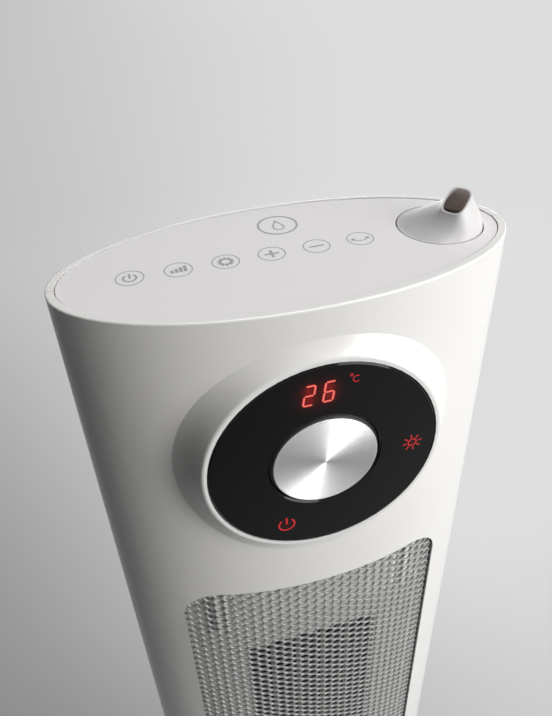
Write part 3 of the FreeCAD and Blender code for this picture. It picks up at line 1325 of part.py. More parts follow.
def gear_tooth(x, teeth, degrees, z0, z1):
    """One involute tooth on a gear whose axis stands at x."""
    pitch = GEAR_MODULE * teeth / 2.0
    root = pitch - GEAR_DEDENDUM * GEAR_MODULE
    tip = pitch + GEAR_ADDENDUM * GEAR_MODULE
    start = max(root, pitch * math.cos(math.radians(GEAR_PRESSURE)))
    centre = math.radians(degrees)

    def spot(radius, side, measure):
        angle = centre + side * tooth_half_angle(measure, pitch, teeth)
        return V(x + radius * math.cos(angle), radius * math.sin(angle), z0)

    foot = root - GEAR_DEDENDUM * GEAR_MODULE / 2.0
    left = [spot(start, 1, start), spot(pitch, 1, pitch), spot(tip, 1, tip)]
    right = [spot(tip, -1, tip), spot(pitch, -1, pitch), spot(start, -1, start)]
    foot_left = spot(foot, 1, start)
    foot_right = spot(foot, -1, start)
    edges = [Part.LineSegment(foot_left, left[0]).toShape(), Part.Arc(*left).toShape()]
    edges = edges + [Part.LineSegment(left[2], right[0]).toShape(), Part.Arc(*right).toShape()]
    edges = edges + [Part.LineSegment(right[2], foot_right).toShape()]
    edges = edges + [Part.LineSegment(foot_right, foot_left).toShape()]
    return Part.Face(Part.Wire(edges)).extrude(V(0, 0, z1 - z0))


def swing_gear():
    """Fixed toothed sector round the collar."""
    z1 = BASE_TOP + GEAR_TALL
    root = GEAR_RADIUS - GEAR_DEDENDUM * GEAR_MODULE
    solids = [rod(0.0, 0.0, root, BASE_TOP, z1)]
    for step in range(GEAR_SECTOR_TEETH):
        degrees = 360.0 / GEAR_TEETH * (step - GEAR_SECTOR_TEETH // 2)
        solids.append(gear_tooth(0.0, GEAR_TEETH, degrees, BASE_TOP, z1))
    return join(solids).cut(rod(0.0, 0.0, COLLAR_RADIUS + SNUG, BASE_TOP, z1))


def swing_pinion():
    """Pinion with its shaft: a tooth gap faces the sector at rest."""
    z0 = BASE_TOP + PINION_LIFT
    z1 = BASE_TOP + GEAR_TALL
    root = PINION_RADIUS - GEAR_DEDENDUM * GEAR_MODULE
    solids = [rod(PINION_X, 0.0, root, z0, z1)]
    for step in range(PINION_TEETH):
        solids.append(gear_tooth(PINION_X, PINION_TEETH, 180.0 + 360.0 / PINION_TEETH * (step + 0.5), z0, z1))
    solids.append(rod(PINION_X, 0.0, PINION_SHAFT, z1, CAP_Z1 + SWING_BORE_DEEP - CLEAR))
    return join(solids)


def swing_motor():
    """Flat geared motor that swings the tower."""
    can = rod(PINION_X, 0.0, SWING_MOTOR_RADIUS, CAP_Z1, CAP_Z1 + SWING_MOTOR_TALL)
    can = can.makeFillet(MOTOR_ROUND, rim_edges(can, CAP_Z1 + SWING_MOTOR_TALL))
    return can.cut(rod(PINION_X, 0.0, PINION_SHAFT + RUN_FIT, CAP_Z1, CAP_Z1 + SWING_BORE_DEEP))


def power_board():
    """Upright power circuit board."""
    return box(POWER_X0, POWER_X1, POWER_Y, POWER_Y + BOARD_THICK, CAP_Z1, CAP_Z1 + POWER_TALL)


def board_parts():
    """Relays and filter coil on the power board."""
    back = POWER_Y + BOARD_THICK
    wide, deep, tall = RELAY_SIZE
    solids = []
    for step in range(RELAY_COUNT):
        x = POWER_X0 + GUIDE_SIZE * 2.0 + RELAY_PITCH * step
        z = CAP_Z1 + POWER_TALL - tall - GUIDE_SIZE
        solids.append(box(x, x + wide, back, back + deep, z, z + tall))
    coil_x = POWER_X0 + GUIDE_SIZE * 2.0 + COIL_RADIUS
    z = CAP_Z1 + GUIDE_SIZE
    solids.append(rod(coil_x, back + COIL_RADIUS, COIL_RADIUS, z, z + COIL_TALL))
    return Part.makeCompound(solids)


def switch_housing():
    """Housing of the mains switch with its bezel and the well of the rocker."""
    back = HALF_D - SWITCH_DEEP
    low = SWITCH_Z - SWITCH_HALF_Z
    body = box(-SWITCH_HALF_X, SWITCH_HALF_X, back, HALF_D, low, low + 2.0 * SWITCH_HALF_Z)
    half_x = SWITCH_HALF_X + SWITCH_BEZEL
    half_z = SWITCH_HALF_Z + SWITCH_BEZEL
    front = HALF_D + SWITCH_BEZEL_TALL
    bezel = slab_y(-half_x, half_x, SWITCH_Z - half_z, SWITCH_Z + half_z, SWITCH_BEZEL, HALF_D, front)
    well_half = ROCKER_HALF_X + ROCKER_GAP
    well_radius = ROCKER_RADIUS + ROCKER_GAP
    well = rod_x(ROCKER_Y, SWITCH_Z, well_radius, well_half)
    mouth = box(-well_half, well_half, ROCKER_Y, front, SWITCH_Z - well_radius, SWITCH_Z + well_radius)
    pin = rod_x(ROCKER_Y, SWITCH_Z, ROCKER_PIN + RUN_FIT, SWITCH_HALF_X)
    return join([body, bezel]).cut([well, mouth, pin])


def switch_rocker():
    """Rocker with a shallow V face on a cross pin, at rest in its off position."""
    side = ROCKER_RADIUS
    rise = side * math.tan(math.radians(ROCKER_TILT))
    crest = ROCKER_Y + ROCKER_SINK + ROCKER_GAP
    back = ROCKER_Y - ROCKER_BACK
    outline = [V(-ROCKER_HALF_X, back, SWITCH_Z - side), V(-ROCKER_HALF_X, crest + rise, SWITCH_Z - side)]
    outline.append(V(-ROCKER_HALF_X, crest, SWITCH_Z))
    outline.append(V(-ROCKER_HALF_X, crest + rise, SWITCH_Z + side))
    outline.append(V(-ROCKER_HALF_X, back, SWITCH_Z + side))
    wedge = Part.Face(Part.makePolygon(outline + outline[:1])).extrude(V(2.0 * ROCKER_HALF_X, 0, 0))
    wedge = wedge.common(rod_x(ROCKER_Y, SWITCH_Z, ROCKER_RADIUS, ROCKER_HALF_X))
    pin = rod_x(ROCKER_Y, SWITCH_Z, ROCKER_PIN, SWITCH_HALF_X)
    rocker = join([wedge, pin])
    rocker.rotate(V(0, ROCKER_Y, SWITCH_Z), V(1, 0, 0), -ROCKER_TILT)
    return rocker


NODES = (
    base_cover, base_plate, base_screws, rubber_feet, ballast_ring, cord_gland, tip_switch, tip_plunger,
    swing_gear, swivel_washer, bottom_cap, cap_screws, swivel_retainer, hub_screws, swing_motor, swing_pinion,
    front_shell, rear_shell, shell_screws, top_panel, touch_board, touch_springs, front_grille,
    display_lens, display_board, led_digits, symbol_lights, dial_cap, dial_core, encoder_body, encoder_shaft,
    outlet_plate, duct_screws, element_frame, ceramic_bars, heater_fins, thermal_cutout,
    fan_wheel, upper_plate, lower_plate, fan_bearing, fan_motor, scroll_wall, tongue_wall,
    intake_cover, dust_filter, water_tank, tank_cap, water_deck, mist_disc, mist_chimney, mist_nozzle,
    power_board, board_parts, switch_housing, switch_rocker,
)

os.makedirs("parts", exist_ok=True)
for node in NODES:
    node().exportStep("parts/" + node.__name__ + ".step")
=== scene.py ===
"""Looks of an oval tower heater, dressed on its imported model.

The housing is glossy white in two halves. It carries a round black display with a spun dial, a honeycomb grille
over the hot-air window, a touch panel and a turning mist nozzle, and it stands on a round swivel base.
Lengths in the classes are millimetres, and MM makes them metres. The studio alone is laid out in metres. The front
faces -Y, +X is to the viewer's right, and the heater stands on z = 0.
"""

import json
import logging
import math
from collections.abc import Sequence
from dataclasses import dataclass, field, replace
from enum import Enum

import bpy
import numpy as np
from mathutils import Matrix, Vector


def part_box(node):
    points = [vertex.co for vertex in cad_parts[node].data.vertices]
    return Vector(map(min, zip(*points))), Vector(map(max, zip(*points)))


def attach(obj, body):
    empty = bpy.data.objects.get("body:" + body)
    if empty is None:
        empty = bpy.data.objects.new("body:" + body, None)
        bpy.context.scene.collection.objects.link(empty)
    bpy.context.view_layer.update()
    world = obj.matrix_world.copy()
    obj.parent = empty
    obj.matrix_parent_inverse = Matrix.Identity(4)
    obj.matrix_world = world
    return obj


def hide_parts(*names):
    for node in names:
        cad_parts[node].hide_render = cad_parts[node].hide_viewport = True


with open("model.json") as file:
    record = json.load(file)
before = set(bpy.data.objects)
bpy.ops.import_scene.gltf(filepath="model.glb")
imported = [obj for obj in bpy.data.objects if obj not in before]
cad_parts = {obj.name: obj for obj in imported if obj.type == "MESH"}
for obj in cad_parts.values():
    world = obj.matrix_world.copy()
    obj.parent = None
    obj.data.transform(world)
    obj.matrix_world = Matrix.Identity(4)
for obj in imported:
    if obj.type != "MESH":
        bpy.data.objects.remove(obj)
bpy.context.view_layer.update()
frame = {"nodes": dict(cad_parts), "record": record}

MM = 0.001
# Points that agree to so many digits of a millimetre are one, and a ring has so many points
DIGITS, ROUND = 4, 48
# Angles in degrees, directions and colours
UPRIGHT, FULL_TURN = 90.0, 360.0
RIGHT, BACK, FRONT, UP = (1.0, 0.0, 0.0), (0.0, 1.0, 0.0), (0.0, -1.0, 0.0), (0.0, 0.0, 1.0)
BLACK, WHITE = (0.0, 0.0, 0.0), (1.0, 1.0, 1.0)
LOG = logging.getLogger("heater")
Colour = tuple[float, float, float]
Place = tuple[float, float, float]
Spot = tuple[float, float]
Point = Sequence[float] | np.ndarray
Term = "Value | float"
Socket = bpy.types.NodeSocket


def corners(node: str) -> tuple[np.ndarray, np.ndarray]:
    """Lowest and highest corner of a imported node, in millimetres."""
    low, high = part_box(node)
    return np.array(low) / MM, np.array(high) / MM


class Value:
    """A number in a shader: Python's operators on it add Math nodes."""

    def __init__(self, recipe: "Recipe", socket: Socket) -> None:
        """Wraps an output socket of the recipe's tree."""
        self.recipe = recipe
        self.socket = socket

    def combine(self, operation: str, first: Term, second: Term) -> "Value":
        """Adds one Math node with that operation on two terms and gives its result."""
        node = self.recipe.node("ShaderNodeMath", {"operation": operation}, {0: first, 1: second})
        return Value(self.recipe, node.outputs[0])

    def __add__(self, other: Term) -> "Value":
        """Sum."""
        return self.combine("ADD", self, other)

    __radd__ = __add__

    def __sub__(self, other: Term) -> "Value":
        """Difference."""
        return self.combine("SUBTRACT", self, other)

    def __rsub__(self, other: float) -> "Value":
        """Difference from a plain number."""
        return self.combine("SUBTRACT", other, self)

    def __mul__(self, other: Term) -> "Value":
        """Product."""
        return self.combine("MULTIPLY", self, other)

    __rmul__ = __mul__

    def __truediv__(self, other: Term) -> "Value":
        """Quotient."""
        return self.combine("DIVIDE", self, other)

    def __rtruediv__(self, other: float) -> "Value":
        """A plain number divided by this one."""
        return self.combine("DIVIDE", other, self)

    def __pow__(self, other: Term) -> "Value":
        """Power."""
        return self.combine("POWER", self, other)

    def upto(self, limit: float) -> "Value":
        """The smaller of this number and the limit."""
        return self.combine("MINIMUM", self, limit)


class Recipe:
    """The node tree of a material or of the world."""

    def __init__(self, tree: bpy.types.NodeTree) -> None:
        """Empties the tree."""
        self.tree = tree
        self.tree.nodes.clear()

    def node(self, kind: str, settings: dict | None = None, sockets: dict | None = None) -> bpy.types.Node:
        """Adds a node.

        Args:
            kind: The node's type.
            settings: Its settings, set first.
            sockets: Plain values, sockets or Values for its inputs, by name or number.

        Returns:
            The node.
        """
        node = self.tree.nodes.new(kind)
        for name, setting in (settings or {}).items():
            setattr(node, name, setting)
        for name, term in (sockets or {}).items():
            term = term.socket if isinstance(term, Value) else term
            if isinstance(term, Socket):
                self.tree.links.new(term, node.inputs[name])
            else:
                node.inputs[name].default_value = term
        return node

    def value(self, kind: str, settings: dict | None = None, sockets: dict | None = None) -> Value:
        """The first result of a node as a Value."""
        return Value(self, self.node(kind, settings, sockets).outputs[0])

    def place(self) -> Socket:
        """Object coordinates, in metres."""
        return self.node("ShaderNodeTexCoord").outputs["Object"]

    def axes(self) -> tuple[Value, Value, Value]:
        """Object coordinates x, y and z as three Values."""
        split = self.node("ShaderNodeSeparateXYZ", sockets={0: self.place()})
        return tuple(Value(self, out) for out in split.outputs)

    def noise(self, size: float, detail: float = 2.0) -> Value:
        """Soft noise from 0 to 1, with waves of that size in millimetres and that many finer octaves."""
        return self.value("ShaderNodeTexNoise", {"noise_dimensions": "3D"},
                          {"Vector": self.place(), "Scale": 1.0 / (size * MM), "Detail": detail})

    def streaks(self, along: Value, size: float, detail: float) -> Value:
        """Noise from 0 to 1 that changes along one number alone, with waves of that size in millimetres."""
        return self.value("ShaderNodeTexNoise", {"noise_dimensions": "1D"},
                          {"W": along, "Scale": 1.0 / (size * MM), "Detail": detail})

    def blend(self, share: Value, first: Colour, second: Colour) -> Socket:
        """Mixes two colours by a share from 0 to 1."""
        return self.node("ShaderNodeMix", {"data_type": "RGBA"},
                         {0: share, 6: (*first, 1.0), 7: (*second, 1.0)}).outputs[2]

    def seen(self) -> Value:
        """Tells sight from light.

        Returns:
            1 for what a camera sees directly, in gloss or through glass, and 0 for light that falls on things.
        """
        ray = self.node("ShaderNodeLightPath")
        camera, gloss, glass = (Value(self, ray.outputs[name])
                                for name in ("Is Camera Ray", "Is Glossy Ray", "Is Transmission Ray"))
        return (camera + gloss + glass).upto(1.0)

    def ramp(self, value: Value, start: float, stop: float) -> Value:
        """Rises smoothly from 0 at start to 1 at stop."""
        return self.value("ShaderNodeMapRange", {"interpolation_type": "SMOOTHSTEP"},
                          {"Value": value, "From Min": start, "From Max": stop})

    def bump(self, height: Value, depth: float) -> Socket:
        """Normals of a relief whose height of 1 stands that many millimetres proud."""
        return self.node("ShaderNodeBump", sockets={"Distance": depth * MM, "Height": height}).outputs[0]

    def surface(self, shader: bpy.types.Node) -> None:
        """Makes a shader the material's surface."""
        self.node("ShaderNodeOutputMaterial", sockets={"Surface": shader.outputs[0]})


@dataclass(frozen=True)
class Finish:
    """A moulded, painted or metal surface: fine grain in its relief and gloss, and slow drifts of tone.

    The drift and the grain are lengths of waves, and the depth is the height of the relief.
    """

    name: str
    colour: Colour
    roughness: float
    metallic: float = 0.0
    tone: float = 0.02
    drift: float = 45.0
    grain: float = 1.6
    grain_detail: float = 3.0
    depth: float = 0.004
    gloss_spread: float = 0.06
    coat: float = 0.0
    coat_roughness: float = 0.06
    specular: float = 0.5
    milky: float = 0.0
    milk_reach: Colour = (1.0, 0.85, 0.78)
    milk_depth: float = 4.0

    def shades(self) -> tuple[Colour, Colour]:
        """The colour made darker and lighter by the tone's share."""
        return (tuple(part * (1.0 - self.tone) for part in self.colour),
                tuple(min(part * (1.0 + self.tone), 1.0) for part in self.colour))

    def relief(self, recipe: Recipe) -> Value:
        """Height of the surface's grain, from 0 to 1."""
        return recipe.noise(self.grain, self.grain_detail)

    def tint(self, recipe: Recipe, relief: Value) -> Socket:
        """Colour of the surface: slow drifts between a darker and a lighter shade."""
        return recipe.blend(recipe.noise(self.drift), *self.shades())

    def glow(self, recipe: Recipe) -> dict:
        """Sockets that make the surface shine by itself: none on most."""
        return {}

    def material(self) -> bpy.types.Material:
        """Builds the material.

        Returns:
            The material, made once under the finish's name, which no packed material has.
        """
        name = "finish_" + self.name
        known = bpy.data.materials.get(name)
        if known:
            return known
        made = bpy.data.materials.new(name)
        made.use_nodes = True
        recipe = Recipe(made.node_tree)
        relief = self.relief(recipe)
        sockets = {
            "Base Color": self.tint(recipe, relief),
            "Metallic": self.metallic,
            "Roughness": (relief - 0.5) * self.gloss_spread + self.roughness,
            "Specular IOR Level": self.specular,
            "Subsurface Weight": self.milky,
            "Subsurface Radius": self.milk_reach,
            "Subsurface Scale": self.milk_depth * MM,
            "Coat Weight": self.coat,
            "Coat Roughness": self.coat_roughness,
            "Normal": recipe.bump(relief, self.depth),
        }
        sockets.update(self.glow(recipe))
        recipe.surface(recipe.node("ShaderNodeBsdfPrincipled", sockets=sockets))
        return made


@dataclass(frozen=True)
class SpunMetal(Finish):
    """Metal turned on a lathe: fine rings round an axis along Y that differ a little in height, gloss and tone."""

    axis: Spot = (0.0, 0.0)
    ring: float = 0.5

    def relief(self, recipe: Recipe) -> Value:
        """Rings: noise that changes with the distance from the axis alone.

        Args:
            recipe: The material's tree.

        Returns:
            The rings' height, from 0 to 1.
        """
        x, _, z = recipe.axes()
        reach = ((x - self.axis[0] * MM) ** 2.0 + (z - self.axis[1] * MM) ** 2.0) ** 0.5
        return recipe.streaks(reach, self.ring, self.grain_detail)

    def tint(self, recipe: Recipe, relief: Value) -> Socket:
        """Darker in the low rings and lighter on the high ones."""
        return recipe.blend(relief, *self.shades())


@dataclass(frozen=True)
class TrayPlastic(Finish):
    """Plastic of the plate behind the grille, with painted light on its forward upper strip: that strip is painted
    paler for the light that falls on it through the grille's holes.
    """

    board_z: float = 412.0
    board_edge: float = 1.0
    # Paler colour of the forward upper strip: painted light, for the light that reaches it through the grille's holes.
    board_painted_light: Colour = (0.92, 0.91, 0.892)

    def tint(self, recipe: Recipe, relief: Value) -> Socket:
        """The plate's colour up to the upper strip's lower edge, a paler colour above it that is painted light, and a
        slow drift in both.

        Args:
            recipe: The material's tree.
            relief: The surface's grain; not used.

        Returns:
            The colour.
        """
        _, _, z = recipe.axes()
        # Painted light: above this height the plate takes the paler colour.
        above = recipe.ramp(z, (self.board_z - self.board_edge) * MM, (self.board_z + self.board_edge) * MM)
        share = above * (1.0 - self.tone) + recipe.noise(self.drift) * self.tone
        return recipe.blend(share, self.colour, self.board_painted_light)


@dataclass(frozen=True)
class Halo:
    """A round glow in the lens: the x and z of its light, its radius, and its share of the full glow."""

    x: float
    z: float
    radius: float
    share: float


@dataclass(frozen=True)
class LitGlass(Finish):
    """Smoked glossy lens in front of lights: black, with a faint glow round each light."""

    halos: tuple[Halo, ...] = ()
    glow_colour: Colour = (0.17, 0.004, 0.003)

    def glow(self, recipe: Recipe) -> dict:
        """Sum of round glows: from its light each falls off as share / (1 + d^2 / r^2)^2.

        Args:
            recipe: The material's tree.

        Returns:
            The sockets of the glow.
        """
        x, _, z = recipe.axes()
        total = 0.0
        for halo in self.halos:
            across = (x - halo.x * MM) / (halo.radius * MM)
            above = (z - halo.z * MM) / (halo.radius * MM)
            total = (across ** 2.0 + above ** 2.0 + 1.0) ** -2.0 * halo.share + total
        colour = recipe.blend(total.upto(1.0), BLACK, self.glow_colour)
        return {"Emission Color": colour, "Emission Strength": 1.0}


@dataclass(frozen=True)
class Lamp(Finish):
    """A light seen through the lens: dark by itself, it shines a little unevenly."""

    strength: float = 1.0
    glass: tuple[Colour, Colour] = ((0.006, 0.004, 0.004), (0.02, 0.008, 0.008))

    def tint(self, recipe: Recipe, relief: Value) -> Socket:
        """Dark glass in front of the light."""
        return recipe.blend(relief, *self.glass)

    def glow(self, recipe: Recipe) -> dict:
        """Light that drifts between two shades of the colour."""
        colour = recipe.blend(recipe.noise(self.drift), *self.shades())
        return {"Emission Color": colour, "Emission Strength": self.strength}


@dataclass(frozen=True)
class Plate:
    """A flat face that marks are laid on, with its own directions across, up and outwards."""

    origin: Place
    across: Place
    up: Place
    out: Place

    def lay(self, marks: np.ndarray) -> np.ndarray:
        """Turns (across, up, height) into x, y and z."""
        return np.array(self.origin) + marks @ np.array([self.across, self.up, self.out])


@dataclass(frozen=True)
class Stroke:
    """A flat bar drawn along a path: at each point its section is the width by the height, square to the path."""

    path: np.ndarray
    width: float | np.ndarray
    closed: bool = False

    def solid(self, foot: float, head: float) -> tuple[np.ndarray, np.ndarray]:
        """Carries the rectangle along the path.

        Args:
            foot: Height of the bar's underside over the plate.
            head: Height of its face.

        Returns:
            Points as (across, up, height) and quads that close the bar.
        """
        path, count = self.path, len(self.path)
        ahead = np.roll(path, -1, 0) - np.roll(path, 1, 0) if self.closed else np.gradient(path, axis=0)
        ahead = ahead / np.linalg.norm(ahead, axis=1, keepdims=True)
        side = np.stack([-ahead[:, 1], ahead[:, 0]], 1) * np.reshape(self.width, (-1, 1)) / 2.0
        flat = np.stack([path + side, path + side, path - side, path - side], 1)
        rise = np.broadcast_to(np.array([foot, head, head, foot])[None, :, None], (count, 4, 1))
        quads = grid_quads(count, 4, self.closed)
        if not self.closed:
            last = 4 * (count - 1)
            quads = np.concatenate([quads, [[3, 2, 1, 0], [last, last + 1, last + 2, last + 3]]])
        return np.concatenate([flat, rise], 2).reshape(-1, 3), quads


def arc(centre: Point, radius: float, start: float, stop: float, count: int = 25) -> np.ndarray:
    """Points on a circle: centre + radius (cos a, sin a), for count angles from start to stop in degrees."""
    angle = np.radians(np.linspace(start, stop, count))
    return np.array(centre) + radius * np.stack([np.cos(angle), np.sin(angle)], 1)


def hoop(centre: Point, radius: float, width: float, count: int = ROUND) -> Stroke:
    """A full ring."""
    return Stroke(arc(centre, radius, 0.0, FULL_TURN, count + 1)[:-1], width, True)


def bar(start: Point, stop: Point, width: float, tip: float = 0.0, end_share: float = 1.0) -> Stroke:
    """A straight bar that narrows at its ends.

    Args:
        start: Its first end.
        stop: Its other end.
        width: Its width.
        tip: Length over which it narrows at each end, and at least a tenth of the width.
        end_share: Share of the width that is left at its ends.

    Returns:
        The bar.
    """
    first, last = np.array(start, float), np.array(stop, float)
    along = (last - first) / np.linalg.norm(last - first)
    reach = max(tip, width / 10.0)
    path = np.array([first, first + along * reach, last - along * reach, last])
    return Stroke(path, width * np.array([end_share, 1.0, 1.0, end_share]))


@dataclass(frozen=True)
class PowerSign:
    """An open ring with an upright bar in its gap: the gap is half an angle in degrees, foot and head are heights."""

    radius: float
    gap: float
    line: float
    foot: float
    head: float
    bar_line: float

    def marks(self, spot: np.ndarray) -> list[Stroke]:
        """The sign's bars round a spot."""
        ring = arc(spot, self.radius, UPRIGHT + self.gap, UPRIGHT + FULL_TURN - self.gap)
        return [Stroke(ring, self.line), bar(spot + (0.0, self.foot), spot + (0.0, self.head), self.bar_line)]


@dataclass(frozen=True)
class RayedRing:
    """A ring with straight rays or teeth, the first of them turned by an angle in degrees."""

    radius: float
    line: float
    count: int
    turn: float
    inner: float
    outer: float
    ray_line: float
    around: int = ROUND

    def marks(self, spot: np.ndarray) -> list[Stroke]:
        """Lays the ring and its rays.

        Args:
            spot: The sign's middle.

        Returns:
            The sign's bars.
        """
        marks = [hoop(spot, self.radius, self.line, self.around)]
        for angle in np.radians(np.arange(self.count) * FULL_TURN / self.count + self.turn):
            way = np.array([math.cos(angle), math.sin(angle)])
            marks.append(bar(spot + way * self.inner, spot + way * self.outer, self.ray_line))
        return marks


def grid_quads(rows: int, columns: int, closed: bool = False) -> np.ndarray:
    """Quads of a grid of rings whose points are numbered ring by ring.

    Args:
        rows: Number of rings.
        columns: Number of points in a ring.
        closed: Whether the last ring joins the first.

    Returns:
        Four point numbers per quad.
    """
    row, column = np.meshgrid(np.arange(rows - (not closed)), np.arange(columns), indexing="ij")
    next_row, next_column = (row + 1) % rows, (column + 1) % columns
    quads = np.stack([row * columns + column, row * columns + next_column,
                      next_row * columns + next_column, next_row * columns + column], -1)
    return quads.reshape(-1, 4)


def volume(points: np.ndarray, quads: np.ndarray) -> float:
    """Volume inside a closed mesh: a sixth of the sum of p0 . (p1 x p2) over its triangles.

    Args:
        points: Points of the mesh.
        quads: Four point numbers per face.

    Returns:
        The volume, which is negative where the faces point inwards.
    """
    p = points[quads]
    halves = np.cross(p[:, 1], p[:, 2]) + np.cross(p[:, 2], p[:, 3])
    return float(np.einsum("ij,ij->", p[:, 0], halves) / 6.0)


def tidy_faces(points: np.ndarray, quads: np.ndarray) -> tuple[np.ndarray, list[list[int]]]:
    """Merges points that share a place and drops the sides that this leaves without length.

    Args:
        points: Points in millimetres.
        quads: Four point numbers per face.

    Returns:
        The points that are left, and faces of three or four of them.
    """
    _, first, number = np.unique(np.round(points, DIGITS), axis=0, return_index=True, return_inverse=True)
    quads = number.reshape(-1)[quads]
    same = quads == np.roll(quads, -1, 1)
    whole = quads[~same.any(1)]
    pinched = same.sum(1) == 1
    triangles = quads[pinched][~same[pinched]].reshape(-1, 3)
    return points[first], whole.tolist() + triangles.tolist()


class Draft:
    """Closed surfaces gathered into one piece."""

    def __init__(self) -> None:
        """Starts with nothing."""
        self.points: list[np.ndarray] = []
        self.quads: list[np.ndarray] = []
        self.count = 0

    def add(self, points: np.ndarray, quads: np.ndarray) -> None:
        """Adds a closed surface, turned so that its faces point outwards.

        Args:
            points: Its points in millimetres.
            quads: Four point numbers per face.
        """
        points = points.reshape(-1, 3)
        turned = quads if volume(points, quads) > 0.0 else quads[:, ::-1]
        self.points.append(points)
        self.quads.append(turned + self.count)
        self.count += len(points)

    def strokes(self, plate: Plate, marks: Sequence[Stroke], foot: float, head: float) -> None:
        """Lays flat bars on a plate.

        Args:
            plate: The plate.
            marks: The bars.
            foot: Height of their undersides over the plate.
            head: Height of their faces.
        """
        for mark in marks:
            points, quads = mark.solid(foot, head)
            self.add(plate.lay(points), quads)

    def piece(self, name: str, body: str, finish: Finish, slot: str, sharp: float = 40.0) -> bpy.types.Object:
        """Makes the object.

        Args:
            name: The piece's name.
            body: The body that it rides on.
            finish: Its finish.
            slot: The record's material slot; not used.
            sharp: Edges that turn by more degrees than this stay sharp.

        Returns:
            The object, at the origin and riding on its body.
        """
        points, faces = tidy_faces(np.concatenate(self.points), np.concatenate(self.quads))
        mesh = bpy.data.meshes.new(name)
        mesh.from_pydata((points * MM).tolist(), [], faces)
        mesh.shade_smooth()
        mesh.set_sharp_from_angle(angle=math.radians(sharp))
        mesh.materials.append(finish.material())
        made = bpy.data.objects.new(name, mesh)
        bpy.context.scene.collection.objects.link(made)
        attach(made, body)
        LOG.info("%s: %d faces on %s", name, len(faces), body)
        return made


WHITE_GLOSS = Finish("white_gloss", (0.85, 0.838, 0.818), 0.3, tone=0.012, coat=0.35, coat_roughness=0.1)
PANEL_WHITE = Finish("panel_white", (0.845, 0.823, 0.834), 0.36, tone=0.012, grain=0.7, depth=0.006)
SPOUT_WHITE = Finish("spout_white", (0.685, 0.655, 0.647), 0.4, grain=0.9, depth=0.006, milky=0.4)
GRILLE_PAINT = Finish("grille_paint", (0.4, 0.4, 0.392), 0.46, metallic=0.35, tone=0.05, drift=6.0, grain=0.35)
GREY_PLASTIC = Finish("grey_plastic", (0.5, 0.5, 0.51), 0.55, grain=0.5, depth=0.012)
DARK_PLASTIC = Finish("dark_plastic", (0.022, 0.022, 0.024), 0.45, tone=0.1, grain=0.4, depth=0.012)
DUCT_PLASTIC = Finish("duct_plastic", (0.58, 0.57, 0.55), 0.6, tone=0.04, grain=0.6, depth=0.02)
# Plastic behind the grille, with painted light on its upper strip.
TRAY_PLASTIC = TrayPlastic("tray_plastic_painted_light", (0.76, 0.752, 0.735), 0.6, tone=0.1, grain=0.6, depth=0.02)
CERAMIC = Finish("ceramic_sleeve", (0.3, 0.29, 0.275), 0.42, metallic=0.8, tone=0.08, drift=12.0, grain=0.8)
FIN_METAL = Finish("fin_metal", (0.26, 0.26, 0.255), 0.42, metallic=1.0, tone=0.1, drift=9.0, grain=0.6)
STEEL = Finish("plated_steel", (0.58, 0.58, 0.57), 0.32, metallic=1.0, tone=0.05, drift=5.0, grain=0.3)
IRON = Finish("black_iron", (0.05, 0.05, 0.055), 0.6, metallic=0.6, tone=0.15, drift=8.0, grain=0.9, depth=0.05)
RUBBER = Finish("soft_rubber", (0.03, 0.03, 0.032), 0.75, tone=0.12, drift=7.0, grain=0.3, depth=0.02)
BOARD = Finish("solder_mask", (0.02, 0.13, 0.06), 0.4, tone=0.2, drift=3.0, grain=0.5, depth=0.02)
RELAY = Finish("relay_case", (0.03, 0.08, 0.26), 0.42, tone=0.05, grain=0.4, depth=0.01)
FILTER = Finish("filter_frame", (0.06, 0.06, 0.065), 0.6, tone=0.1, grain=0.4, depth=0.02)
TANK = Finish("milky_tank", (0.7, 0.745, 0.79), 0.28, tone=0.03, drift=30.0, grain=1.2, coat=0.3)
INK = Finish("panel_ink", (0.38, 0.375, 0.375), 0.5, tone=0.1, drift=2.0, grain=0.2)
CORE_LAMP = Lamp("core_lamp", (0.88, 0.2, 0.16), 0.3, tone=0.1, drift=1.5)
RED_LAMP = Lamp("red_lamp", (0.6, 0.018, 0.014), 0.3, tone=0.2, drift=1.5)
DULL_LAMP = Lamp("dull_lamp", (0.58, 0.009, 0.013), 0.3, tone=0.2, drift=1.5)
SMOKED_LENS = LitGlass("smoked_lens", (0.004, 0.004, 0.0045), 0.07, tone=0.15, grain=2.5, depth=0.001,
                       gloss_spread=0.02, specular=0.22)
SPUN_METAL = SpunMetal("spun_metal", (0.8, 0.8, 0.795), 0.42, metallic=1.0, tone=0.06, depth=0.002, gloss_spread=0.1)


class Body(Enum):
    """Bodies that new pieces ride on."""

    TOWER = "tower"
    DIAL = "dial"


def paint(node: bpy.types.Object, finish: Finish) -> None:
    """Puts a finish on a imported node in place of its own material.

    Args:
        node: The node.
        finish: Its finish.
    """
    node.data.materials.clear()
    node.data.materials.append(finish.material())
    LOG.info("%s: %s", node.name, finish.name)


@dataclass
class Casing:
    """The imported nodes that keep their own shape: each takes its own finish, or else that of its material slot."""

    finishes: dict[str, Finish] = field(default_factory=lambda: {
        "white_gloss": WHITE_GLOSS, "panel_white": PANEL_WHITE, "grille_metal": GRILLE_PAINT,
        "grey_plastic": GREY_PLASTIC, "dark_plastic": DARK_PLASTIC, "duct_plastic": DUCT_PLASTIC,
        "ceramic": CERAMIC, "fin_metal": FIN_METAL, "steel": STEEL, "iron": IRON, "rubber": RUBBER,
        "board_green": BOARD, "relay_blue": RELAY, "light_red": DULL_LAMP, "filter_mesh": FILTER,
        "tank_plastic": TANK, "spun_metal": STEEL, "lens_black": DARK_PLASTIC,
    })
    own: dict[str, Finish] = field(default_factory=lambda: {
        "mist_nozzle": SPOUT_WHITE, "outlet_plate": TRAY_PLASTIC,
    })

    def build(self) -> None:
        """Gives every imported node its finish."""
        slots = {row["node"]: row["material_slot"] for row in frame["record"]["subparts"]}
        for name, node in frame["nodes"].items():
            paint(node, self.own.get(name, self.finishes[slots[name]]))


